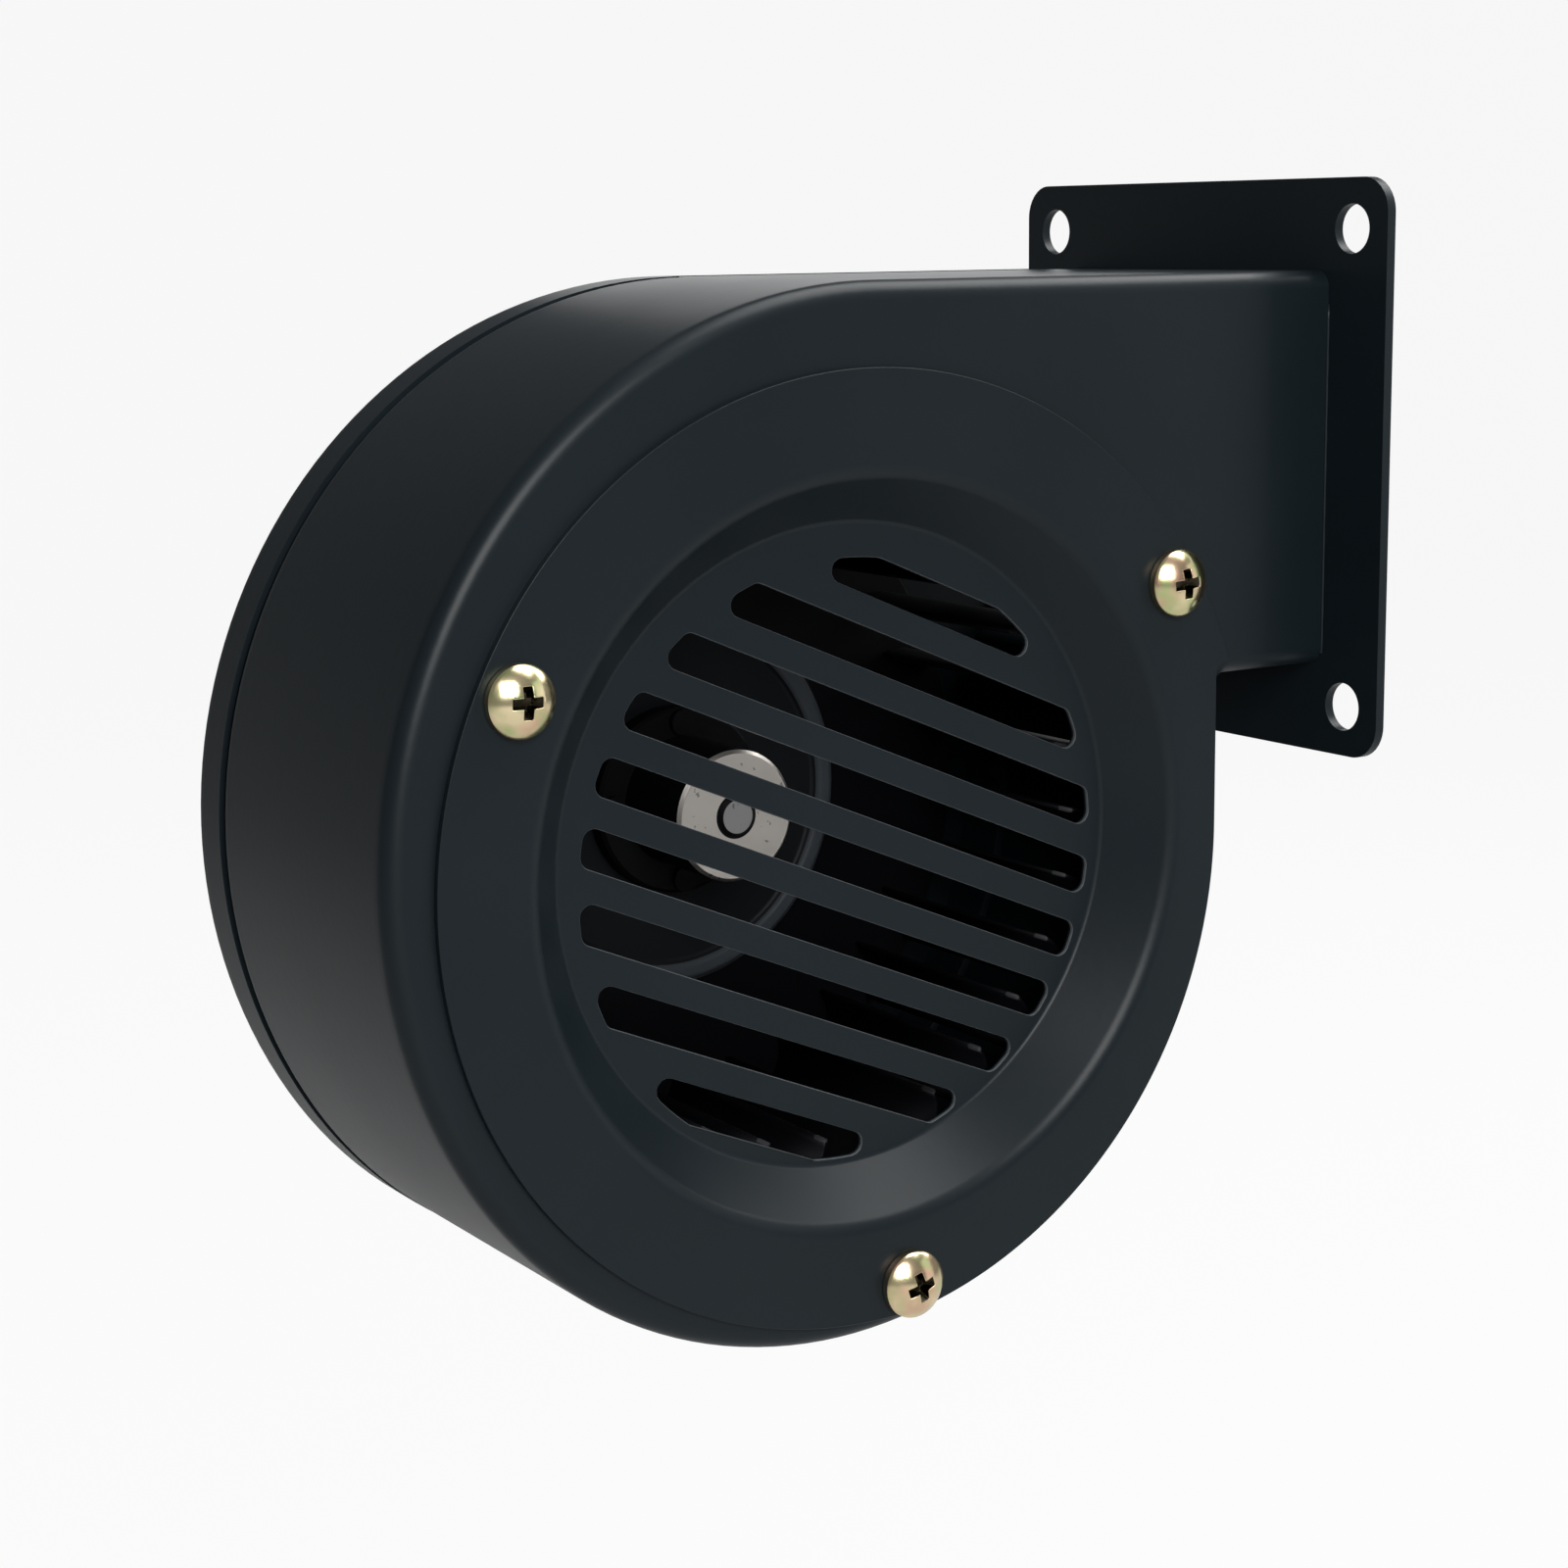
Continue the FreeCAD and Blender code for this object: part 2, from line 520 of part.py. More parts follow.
def dish_profile():
    """Cover's cross-section as radius and depth pairs, front face outwards and back face inwards."""
    run = DISH_TOP_RADIUS - DISH_FLOOR_RADIUS
    slope = math.atan2(DISH_DEPTH, run)
    shift = COVER_SHEET * math.tan(slope / 2)
    front = [(COVER_RADIUS, COVER_FRONT_Y), (DISH_TOP_RADIUS, COVER_FRONT_Y)]
    front += [(DISH_FLOOR_RADIUS, GRILLE_FRONT_Y), (0, GRILLE_FRONT_Y)]
    back = [(0, GRILLE_BACK_Y), (DISH_FLOOR_RADIUS - shift, GRILLE_BACK_Y)]
    back += [(DISH_TOP_RADIUS - shift, FRONT_Y), (COVER_RADIUS, FRONT_Y)]
    return front + back


def slot_cut(offset):
    """One slot through the grille: a strip whose ends follow a circle, with rounded corners."""
    front = GRILLE_FRONT_Y - COVER_SHEET
    back = GRILLE_BACK_Y + COVER_SHEET
    low = AXIS_Z + offset - SLOT_WIDTH / 2
    strip = block((AXIS_X - SLOT_REACH, front, low), (AXIS_X + SLOT_REACH, back, low + SLOT_WIDTH))
    hole = strip.common(disc(SLOT_REACH, front, back))
    corners = [edge for edge in hole.Edges if edge.BoundBox.YLength > COVER_SHEET]
    upright = [edge for edge in corners if edge.BoundBox.XLength + edge.BoundBox.ZLength < TINY]
    slot = turned_to(hole.makeFillet(SLOT_CORNER, upright), SLOT_TILT)
    slot.translate(FreeCAD.Vector(SLOT_SHIFT, 0, -SLOT_DROP))
    return slot


def ring_edges(solid, depth):
    """Circular edges round the rotor axis at a depth, except the outermost."""
    rings = []
    for edge in solid.Edges:
        box = edge.BoundBox
        flat = abs(box.YMin - depth) < TINY and abs(box.YMax - depth) < TINY
        inside = box.XLength < 2 * COVER_RADIUS - COVER_SHEET
        if flat and inside:
            rings.append(edge)
    return rings


def inlet_cover():
    """Dished disc with slots, trimmed to the casing's outline."""
    cover = spun(dish_profile())
    bends = (
        (COVER_FRONT_Y, DISH_TOP_BEND),
        (FRONT_Y, DISH_TOP_BEND - COVER_SHEET),
        (GRILLE_BACK_Y, DISH_FLOOR_BEND),
        (GRILLE_FRONT_Y, DISH_FLOOR_BEND - COVER_SHEET),
    )
    for depth, radius in bends:
        cover = cover.makeFillet(radius, ring_edges(cover, depth))
    cover = cover.common(outline_block(COVER_EDGE_MARGIN, COVER_FRONT_Y, GRILLE_BACK_Y, REACH))
    for step in range(SLOT_COUNT):
        cover = cover.cut(slot_cut((step - (SLOT_COUNT - 1) / 2) * SLOT_PITCH))
    for x, z in cover_screw_places():
        cover = cover.cut(disc(COVER_SCREW_RADIUS + HOLE_GAP, COVER_FRONT_Y, FRONT_Y, x, z))
    return cover


def inlet_cover_screws():
    """Domed cross-recessed screws that hold the cover to the casing."""
    one = screw(COVER_HEAD_RADIUS, COVER_HEAD_HEIGHT, COVER_SCREW_RADIUS, COVER_SCREW_LENGTH)
    towards_front = FreeCAD.Vector(0, -1, 0)
    return [placed(one, FreeCAD.Vector(x, COVER_FRONT_Y, z), towards_front) for x, z in cover_screw_places()]


def impeller_back_disc():
    """Pressed disc with a stiffening bead, which carries the hub and the blades."""
    flank = BEAD_HALF_WIDTH / 2
    section = [
        (SHAFT_RADIUS + DISC_HOLE_GAP, 0),
        (BEAD_RADIUS - BEAD_HALF_WIDTH, 0),
        (BEAD_RADIUS - flank, -BEAD_HEIGHT),
        (BEAD_RADIUS + flank, -BEAD_HEIGHT),
        (BEAD_RADIUS + BEAD_HALF_WIDTH, 0),
        (IMPELLER_RADIUS, 0),
    ]
    front = [(radius, DISC_FRONT_Y + rise) for radius, rise in section]
    back = [(radius, DISC_BACK_Y + rise) for radius, rise in reversed(section)]
    solid = spun(front + back)
    for angle in round_the_axis(RIVET_COUNT):
        x, z = at_angle(RIVET_CIRCLE, angle)
        solid = solid.cut(disc(RIVET_RADIUS + FIT_GAP, DISC_FRONT_Y, DISC_BACK_Y, x, z))
    return solid


def impeller_blades():
    """Forward-curved blades between the back disc and the front ring."""
    root = at_angle(BLADE_INNER_RADIUS, 0)
    tip = at_angle(BLADE_OUTER_RADIUS, -BLADE_LEAN)
    chord_x = tip[0] - root[0]
    chord_z = tip[1] - root[1]
    chord = math.hypot(chord_x, chord_z)
    bow_x = chord_z / chord
    bow_z = -chord_x / chord

    def curve_point(share, bow):
        x = root[0] + share * chord_x - bow * bow_x
        z = root[1] + share * chord_z - bow * bow_z
        return FreeCAD.Vector(x, RING_BACK_Y, z)

    half = BLADE_SHEET / 2
    front_arc = Part.Arc(curve_point(0, half), curve_point(0.5, half + BLADE_CAMBER), curve_point(1, half))
    back_arc = Part.Arc(curve_point(1, -half), curve_point(0.5, BLADE_CAMBER - half), curve_point(0, -half))
    tip_side = Part.LineSegment(curve_point(1, half), curve_point(1, -half))
    root_side = Part.LineSegment(curve_point(0, -half), curve_point(0, half))
    wire = Part.Wire([side.toShape() for side in (front_arc, tip_side, back_arc, root_side)])
    blade = Part.Face(wire).extrude(FreeCAD.Vector(0, DISC_FRONT_Y - RING_BACK_Y, 0))
    return [turned_to(blade, angle) for angle in round_the_axis(BLADE_COUNT)]


def impeller_front_ring():
    """Narrow ring that ties the blades' front ends."""
    return tube(IMPELLER_RADIUS, FRONT_RING_INNER, RING_FRONT_Y, RING_BACK_Y)


def impeller_hub():
    """Turned hub with a flange that the disc is riveted to."""
    points = [
        (SHAFT_BORE, HUB_FRONT_Y),
        (HUB_RADIUS - HUB_BEVEL, HUB_FRONT_Y),
        (HUB_RADIUS, HUB_FRONT_Y + HUB_BEVEL),
        (HUB_RADIUS, HUB_FLANGE_FRONT_Y),
        (HUB_FLANGE_RADIUS - HUB_BEVEL, HUB_FLANGE_FRONT_Y),
        (HUB_FLANGE_RADIUS, HUB_FLANGE_FRONT_Y + HUB_BEVEL),
        (HUB_FLANGE_RADIUS, DISC_FRONT_Y),
        (SHAFT_BORE, DISC_FRONT_Y),
    ]
    hub = spun(points)
    for angle in round_the_axis(RIVET_COUNT):
        x, z = at_angle(RIVET_CIRCLE, angle)
        hub = hub.cut(disc(RIVET_RADIUS + FIT_GAP, HUB_FLANGE_FRONT_Y, DISC_FRONT_Y, x, z))
    return hub.cut(radial_pin(SET_SCREW_RADIUS + FIT_GAP, 0, HUB_FLANGE_RADIUS))


def radial_pin(radius, start, end):
    """Cylinder that stands out from the rotor axis where the hub's set screw goes."""
    turn = math.radians(SET_SCREW_ANGLE)
    direction = FreeCAD.Vector(math.cos(turn), 0, math.sin(turn))
    x, z = at_angle(start, SET_SCREW_ANGLE)
    middle = FreeCAD.Vector(x, HUB_FRONT_Y + SET_SCREW_FROM_FRONT, z)
    return Part.makeCylinder(radius, end - start, middle, direction)


def impeller_set_screw():
    """Grub screw with a square-cut driving slot, tight on the shaft."""
    end = HUB_RADIUS - HUB_BEVEL
    pin = radial_pin(SET_SCREW_RADIUS, SHAFT_BORE, end)
    slot = radial_pin(SET_SCREW_RADIUS / 2, end - SET_SCREW_RADIUS, end)
    return pin.cut(slot)


def impeller_rivets():
    """Rivets through the hub's flange and the disc, with a flat head on each side."""
    rivets = []
    for angle in round_the_axis(RIVET_COUNT):
        x, z = at_angle(RIVET_CIRCLE, angle)
        shank = disc(RIVET_RADIUS, HUB_FLANGE_FRONT_Y, DISC_BACK_Y, x, z)
        front_head = disc(RIVET_HEAD_RADIUS, HUB_FLANGE_FRONT_Y - RIVET_HEAD_HEIGHT, HUB_FLANGE_FRONT_Y, x, z)
        back_head = disc(RIVET_HEAD_RADIUS, DISC_BACK_Y, DISC_BACK_Y + RIVET_HEAD_HEIGHT, x, z)
        rivets.append(fused([shank, front_head, back_head]))
    return rivets


def shaft():
    """Motor shaft, with a groove for the retaining ring and bevelled ends."""
    ring_front = FRONT_BEARING_Y - CIRCLIP_SHEET
    groove = SHAFT_RADIUS - CIRCLIP_GROOVE
    points = [
        (0, SHAFT_FRONT_Y),
        (SHAFT_RADIUS - SHAFT_BEVEL, SHAFT_FRONT_Y),
        (SHAFT_RADIUS, SHAFT_FRONT_Y + SHAFT_BEVEL),
        (SHAFT_RADIUS, ring_front),
        (groove, ring_front),
        (groove, FRONT_BEARING_Y),
        (SHAFT_RADIUS, FRONT_BEARING_Y),
        (SHAFT_RADIUS, SHAFT_BACK_Y - SHAFT_BEVEL),
        (SHAFT_RADIUS - SHAFT_BEVEL, SHAFT_BACK_Y),
        (0, SHAFT_BACK_Y),
    ]
    return spun(points)


def retaining_ring():
    """Open ring in the shaft's groove, in front of the front bearing."""
    inner = SHAFT_RADIUS - CIRCLIP_GROOVE + FIT_GAP
    ring = tube(CIRCLIP_RADIUS, inner, FRONT_BEARING_Y - CIRCLIP_SHEET, FRONT_BEARING_Y)
    half = CIRCLIP_OPENING / 2
    mouth = block(
        (AXIS_X - half, FRONT_BEARING_Y - BEARING_WIDTH, AXIS_Z - CIRCLIP_RADIUS),
        (AXIS_X + half, FRONT_BEARING_Y + BEARING_WIDTH, AXIS_Z))
    return ring.cut(mouth)


def bearing_fronts():
    """Front faces of the two bearings."""
    return (FRONT_BEARING_Y, REAR_BEARING_Y)


def race_groove(front):
    """Ball track of a bearing whose front face is given."""
    middle = FreeCAD.Vector(AXIS_X, front + BEARING_WIDTH / 2, AXIS_Z)
    return Part.makeTorus(BALL_CIRCLE, BALL_RADIUS + BALL_GAP, middle, ALONG_Y)


def bearing_outer_rings():
    """Outer rings with their side shields."""
    rings = []
    opening = RACE_INNER_RADIUS + ROTOR_GAP
    for front in bearing_fronts():
        back = front + BEARING_WIDTH
        ring = disc(BEARING_RADIUS, front, back).cut(disc(opening, front, back))
        ring = ring.cut(tube(RACE_OUTER_RADIUS, opening / 2, front + SEAL_THICKNESS, back - SEAL_THICKNESS))
        rings.append(ring.cut(race_groove(front)))
    return rings


def bearing_inner_rings():
    """Inner rings on the shaft."""
    rings = []
    for front in bearing_fronts():
        ring = tube(RACE_INNER_RADIUS, SHAFT_BORE, front, front + BEARING_WIDTH)
        rings.append(ring.cut(race_groove(front)))
    return rings


def bearing_balls():
    """Balls of both bearings."""
    balls = []
    for front in bearing_fronts():
        for angle in round_the_axis(BALL_COUNT):
            x, z = at_angle(BALL_CIRCLE, angle)
            balls.append(Part.makeSphere(BALL_RADIUS, FreeCAD.Vector(x, front + BEARING_WIDTH / 2, z)))
    return balls


def wave_washer():
    """Spring washer that loads the rear bearing."""
    return tube(BEARING_RADIUS - ROTOR_GAP, WAVE_WASHER_INNER, SHAFT_BACK_Y, REAR_POCKET_Y)


def rotor_core():
    """Laminated rotor on the shaft."""
    return tube(ROTOR_CORE_RADIUS, SHAFT_BORE, STACK_FRONT_Y, STACK_BACK_Y)


def rotor_end_rings():
    """Cast rings at both ends of the rotor, with small cooling vanes."""
    rings = []
    for start, direction in ((STACK_FRONT_Y, -1), (STACK_BACK_Y, 1)):
        ring_end = start + direction * END_RING_LENGTH
        vane_end = ring_end + direction * VANE_LENGTH
        pieces = [tube(END_RING_OUTER, END_RING_INNER, min(start, ring_end), max(start, ring_end))]
        inner_x = AXIS_X + END_RING_INNER + VANE_THICKNESS
        outer_x = AXIS_X + END_RING_OUTER - VANE_THICKNESS
        low = (inner_x, min(ring_end, vane_end), AXIS_Z - VANE_THICKNESS / 2)
        high = (outer_x, max(ring_end, vane_end), AXIS_Z + VANE_THICKNESS / 2)
        for angle in round_the_axis(VANE_COUNT):
            pieces.append(turned_to(block(low, high), angle))
        rings.append(fused(pieces))
    return rings


def rotor_spacers():
    """Sleeves between the rotor and the bearings' inner rings."""
    front = tube(SPACER_RADIUS, SHAFT_BORE, FRONT_BEARING_Y + BEARING_WIDTH, STACK_FRONT_Y)
    rear = tube(SPACER_RADIUS, SHAFT_BORE, STACK_BACK_Y, REAR_BEARING_Y)
    return [front, rear]


def stator_core():
    """Laminated ring with winding slots, clamped between the shields."""
    core = tube(MOTOR_RADIUS, STATOR_BORE, STACK_FRONT_Y, STACK_BACK_Y)
    cuts = []
    for angle in round_the_axis(STATOR_SLOTS):
        slot = block(
            (AXIS_X + STATOR_SLOT_INNER, STACK_FRONT_Y, AXIS_Z - STATOR_SLOT_WIDTH / 2),
            (AXIS_X + STATOR_SLOT_OUTER, STACK_BACK_Y, AXIS_Z + STATOR_SLOT_WIDTH / 2))
        mouth = block(
            (AXIS_X + STATOR_BORE - ROTOR_GAP, STACK_FRONT_Y, AXIS_Z - STATOR_MOUTH / 2),
            (AXIS_X + STATOR_SLOT_INNER, STACK_BACK_Y, AXIS_Z + STATOR_MOUTH / 2))
        cuts.append(turned_to(slot.fuse(mouth), angle))
    for x, z in motor_screw_places(TIE_SCREW_FIRST):
        cuts.append(disc(MOTOR_SCREW_RADIUS + HOLE_GAP, STACK_FRONT_Y, STACK_BACK_Y, x, z))
    return core.cut(cuts)


def stator_windings():
    """Coils through the slots, joined by the end turns on both sides."""
    outer = STATOR_SLOT_OUTER - COIL_GAP
    inner = STATOR_SLOT_INNER + COIL_GAP
    half = STATOR_SLOT_WIDTH / 2 - COIL_GAP
    pieces = [
        tube(outer, inner, STACK_FRONT_Y - END_TURN_LENGTH, STACK_FRONT_Y - COIL_GAP),
        tube(outer, inner, STACK_BACK_Y + COIL_GAP, STACK_BACK_Y + END_TURN_LENGTH),
    ]
    corner = math.sqrt(outer ** 2 - half ** 2)
    for angle in round_the_axis(STATOR_SLOTS):
        bar = block(
            (AXIS_X + inner, STACK_FRONT_Y - 2 * COIL_GAP, AXIS_Z - half),
            (AXIS_X + corner, STACK_BACK_Y + 2 * COIL_GAP, AXIS_Z + half))
        pieces.append(turned_to(bar, angle))
    return fused(pieces)


def shield(base_y, rim_y, pocket_y, boss_y, screws):
    """Motor end shield: base, rim, bearing boss with its pocket, and bosses round the screws."""
    inwards = 1 if rim_y > base_y else -1
    floor_y = base_y + inwards * SHIELD_BASE

    def between(a, b):
        return min(a, b), max(a, b)

    rim = tube(MOTOR_RADIUS, MOTOR_RADIUS - SHIELD_WALL, *between(base_y, rim_y))
    base = disc(MOTOR_RADIUS, *between(base_y, floor_y))
    boss = disc(BEARING_BOSS_RADIUS, *between(base_y, boss_y))
    pieces = [rim, base, boss]
    inside = disc(MOTOR_RADIUS - SHIELD_WALL / 2, *between(base_y, rim_y))
    for x, z in screws:
        pieces.append(disc(MOTOR_BOSS_RADIUS, *between(base_y, rim_y), x, z).common(inside))
    body = fused(pieces)
    return body.cut(disc(BEARING_RADIUS + FIT_GAP, *between(pocket_y, boss_y)))


def motor_front_shield():
    """Shield against the lid, with a spigot in the lid's hole and the front bearing's pocket."""
    boss_y = FRONT_BEARING_Y + BEARING_WIDTH
    screws = motor_screw_places(MOUNT_SCREW_FIRST) + motor_screw_places(TIE_SCREW_FIRST)
    body = shield(BACK_Y, STACK_FRONT_Y, FRONT_BEARING_Y, boss_y, screws)
    body = body.fuse(disc(SPIGOT_RADIUS, LID_SEAT_Y, BACK_Y))
    body = body.cut(disc(SHAFT_HOLE_RADIUS, LID_SEAT_Y, boss_y))
    for x, z in motor_screw_places(MOUNT_SCREW_FIRST):
        deep = BACK_Y + MOUNT_SCREW_LENGTH
        body = body.cut(disc(MOTOR_SCREW_RADIUS + FIT_GAP, BACK_Y, deep, x, z))
    bite = STACK_FRONT_Y - TIE_SCREW_BITE
    for x, z in motor_screw_places(TIE_SCREW_FIRST):
        body = body.cut(disc(MOTOR_SCREW_RADIUS + FIT_GAP, bite, STACK_FRONT_Y, x, z))
    return body.removeSplitter()


def vent(angle):
    """Radial air slot through the rear shield's base."""
    middle = (VENT_INNER + VENT_OUTER) / 2
    half = (VENT_OUTER - VENT_INNER) / 2 - VENT_WIDTH / 2
    front = MOTOR_BACK_Y - SHIELD_BASE
    bar = block(
        (AXIS_X + middle - half, front, AXIS_Z - VENT_WIDTH / 2),
        (AXIS_X + middle + half, MOTOR_BACK_Y, AXIS_Z + VENT_WIDTH / 2))
    ends = [disc(VENT_WIDTH / 2, front, MOTOR_BACK_Y, AXIS_X + middle + side * half) for side in (-1, 1)]
    return turned_to(fused([bar] + ends), angle)


def motor_rear_shield():
    """Rear shield with air slots, the rear bearing's pocket and the cable hole."""
    screws = motor_screw_places(TIE_SCREW_FIRST)
    body = shield(MOTOR_BACK_Y, STACK_BACK_Y, REAR_POCKET_Y, REAR_BEARING_Y, screws)
    rim_edge = [edge for edge in body.Edges if edge_is_rim(edge)]
    body = body.makeFillet(SHIELD_EDGE_RADIUS, rim_edge)
    for angle in round_the_axis(VENT_COUNT, 180.0 / VENT_COUNT):
        body = body.cut(vent(angle))
    for x, z in motor_screw_places(TIE_SCREW_FIRST):
        body = body.cut(disc(MOTOR_SCREW_RADIUS + HOLE_GAP, STACK_BACK_Y, MOTOR_BACK_Y, x, z))
    hole = Part.makeCylinder(GROMMET_NECK + GROMMET_GAP, MOTOR_RADIUS, grommet_place(0), grommet_direction())
    return body.cut(hole).removeSplitter()


def edge_is_rim(edge):
    """True for the rear shield's outer back edge."""
    box = edge.BoundBox
    flat = abs(box.YMin - MOTOR_BACK_Y) < TINY and abs(box.YMax - MOTOR_BACK_Y) < TINY
    return flat and box.XLength > 2 * MOTOR_RADIUS - SHIELD_WALL


def grommet_direction():
    """Direction in which the cable leaves the motor."""
    turn = math.radians(GROMMET_ANGLE)
    return FreeCAD.Vector(math.cos(turn), 0, math.sin(turn))


def grommet_place(radius):
    """Point on the grommet's middle line at a distance from the rotor axis."""
    x, z = at_angle(radius, GROMMET_ANGLE)
    middle = (STACK_BACK_Y + MOTOR_BACK_Y - SHIELD_BASE) / 2
    return FreeCAD.Vector(x, middle, z)


def cable_grommet():
    """Rubber grommet in the rear shield's rim, where the cable would come out."""
    inner_wall = MOTOR_RADIUS - SHIELD_WALL
    inner_seat = math.sqrt(inner_wall ** 2 - GROMMET_FLANGE_RADIUS ** 2)
    lengths = [
        (GROMMET_FLANGE_RADIUS, inner_seat - GROMMET_FLANGE, inner_seat),
        (GROMMET_NECK, inner_seat, MOTOR_RADIUS),
        (GROMMET_FLANGE_RADIUS, MOTOR_RADIUS, MOTOR_RADIUS + GROMMET_FLANGE),
    ]
    pieces = []
    for radius, start, end in lengths:
        pieces.append(Part.makeCylinder(radius, end - start, grommet_place(start), grommet_direction()))
    length = MOTOR_RADIUS + GROMMET_FLANGE
    bore = Part.makeCylinder(GROMMET_BORE, length, grommet_place(0), grommet_direction())
    return fused(pieces).cut(bore)


def motor_tie_screws():
    """Long screws from behind that clamp the stator between the shields."""
    length = MOTOR_BACK_Y - STACK_FRONT_Y + TIE_SCREW_BITE - FIT_GAP
    one = screw(MOTOR_HEAD_RADIUS, MOTOR_HEAD_HEIGHT, MOTOR_SCREW_RADIUS, length)
    places = motor_screw_places(TIE_SCREW_FIRST)
    return [placed(one, FreeCAD.Vector(x, MOTOR_BACK_Y, z), ALONG_Y) for x, z in places]


def motor_mount_screws():
    """Screws from inside the casing that hold the motor to the lid."""
    length = SHEET + MOUNT_SCREW_LENGTH - FIT_GAP
    one = screw(MOTOR_HEAD_RADIUS, MOTOR_HEAD_HEIGHT, MOTOR_SCREW_RADIUS, length)
    towards_front = FreeCAD.Vector(0, -1, 0)
    places = motor_screw_places(MOUNT_SCREW_FIRST)
    return [placed(one, FreeCAD.Vector(x, LID_SEAT_Y, z), towards_front) for x, z in places]


def main():
    """Makes and writes every node."""
    os.makedirs("parts", exist_ok=True)
    save("scroll_casing", [scroll_casing()])
    save("back_lid", [back_lid()])
    save("lid_tabs", lid_tabs())
    save("lid_screws", lid_screws())
    save("outlet_flange", [outlet_flange()])
    save("inlet_cover", [inlet_cover()])
    save("inlet_cover_screws", inlet_cover_screws())
    save("impeller_back_disc", [impeller_back_disc()])
    save("impeller_blades", impeller_blades())
    save("impeller_front_ring", [impeller_front_ring()])
    save("impeller_hub", [impeller_hub()])
    save("impeller_set_screw", [impeller_set_screw()])
    save("impeller_rivets", impeller_rivets())
    save("shaft", [shaft()])
    save("retaining_ring", [retaining_ring()])
    save("bearing_outer_rings", bearing_outer_rings())
    save("bearing_inner_rings", bearing_inner_rings())
    save("bearing_balls", bearing_balls())
    save("wave_washer", [wave_washer()])
    save("rotor_core", [rotor_core()])
    save("rotor_end_rings", rotor_end_rings())
    save("rotor_spacers", rotor_spacers())
    save("stator_core", [stator_core()])
    save("stator_windings", [stator_windings()])
    save("motor_front_shield", [motor_front_shield()])
    save("motor_rear_shield", [motor_rear_shield()])
    save("cable_grommet", [cable_grommet()])
    save("motor_tie_screws", motor_tie_screws())
    save("motor_mount_screws", motor_mount_screws())


main()
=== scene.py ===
import bmesh
import bpy
import json
import math
from mathutils import Matrix, Vector


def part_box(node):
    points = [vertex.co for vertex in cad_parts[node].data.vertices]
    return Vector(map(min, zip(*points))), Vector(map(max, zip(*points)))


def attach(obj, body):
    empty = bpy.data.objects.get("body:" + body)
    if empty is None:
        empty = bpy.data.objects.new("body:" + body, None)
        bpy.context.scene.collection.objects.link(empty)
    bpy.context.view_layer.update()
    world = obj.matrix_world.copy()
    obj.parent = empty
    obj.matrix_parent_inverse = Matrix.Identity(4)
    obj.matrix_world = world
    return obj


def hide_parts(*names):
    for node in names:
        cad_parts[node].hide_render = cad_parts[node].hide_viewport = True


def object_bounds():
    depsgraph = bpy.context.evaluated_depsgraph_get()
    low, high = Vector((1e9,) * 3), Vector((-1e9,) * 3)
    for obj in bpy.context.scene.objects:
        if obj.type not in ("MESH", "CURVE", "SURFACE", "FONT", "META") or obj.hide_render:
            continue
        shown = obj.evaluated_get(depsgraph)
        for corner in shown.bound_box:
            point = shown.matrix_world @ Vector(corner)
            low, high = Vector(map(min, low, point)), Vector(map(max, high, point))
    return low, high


bl_info = {
    "name": "Air Mover Dressing",
    "version": (1, 0, 0),
    "blender": (4, 5, 0),
    "location": "3D View > Sidebar > Air Mover",
    "description": "Builds the visible pieces and the stage of a small centrifugal air mover",
    "category": "Object",
}

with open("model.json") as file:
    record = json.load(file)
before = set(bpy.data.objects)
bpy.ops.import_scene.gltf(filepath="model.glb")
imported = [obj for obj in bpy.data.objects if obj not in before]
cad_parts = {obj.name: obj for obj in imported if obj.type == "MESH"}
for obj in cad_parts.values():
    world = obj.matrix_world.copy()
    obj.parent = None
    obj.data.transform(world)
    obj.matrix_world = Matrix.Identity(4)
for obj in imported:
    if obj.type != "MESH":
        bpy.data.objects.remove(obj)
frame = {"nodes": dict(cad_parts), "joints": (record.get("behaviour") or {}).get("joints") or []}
CAD_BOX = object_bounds()

MM = 0.001
HOUSING = "housing"
ROTOR = "rotor"
STEPS_ROUND = 128
RECESS_SHADE = "recess"  # face attribute that marks a screw's cross recess, where shade is painted
FAR = 1.0          # beyond every piece
WELD = 1e-6        # vertices closer than this become one
FINE_WELD = 1e-7   # the same for the cover, whose rows lie close
SAME_SPOT = 1e-5   # outline points closer than this count as one
WHITE = (1.0, 1.0, 1.0, 1.0)
EDGE_ANGLE = math.radians(38)        # edges sharper than this are softened
SCREW_EDGE_ANGLE = math.radians(35)  # the same on screws
FLAT_ANGLE = math.radians(0.5)       # faces that meet flatter than this are joined

# Widths that soften sharp edges
SOFT_EDGE = {name: width * MM for name, width in {
    "casing": 0.12, "lid": 0.1, "flange": 0.22, "cover": 0.2, "disc": 0.15, "screw": 0.07}.items()}

# Zones of the finishes, with painted highlights and painted shade
SLOTS_WITHIN = 43.9 * MM   # radius that takes in every slot
SLOT_HIGHLIGHT_FROM = 0.02 * MM      # depth behind the grille's face where the painted highlight on the slots' edges begins
SLOT_HIGHLIGHT_TO = 0.5 * MM         # depth where that painted highlight ends
EDGE_HIGHLIGHT_WIDTH = 0.45 * MM      # width of the painted highlight on the blades' inner edges
EDGE_HIGHLIGHT_LENGTH = 2.5 * MM     # length of that painted highlight behind the front ring
HUB_FACE_DEPTH = 0.6 * MM  # depth of the hub's bright end face; behind it the hub is painted dark as shade
HUB_BORE_SHADE = 0.3 * MM   # painted shade in a ring round the shaft, in the hub's bore
SHAFT_EDGE_SHADE = 0.55 * MM  # painted shade on the edge of the shaft's end

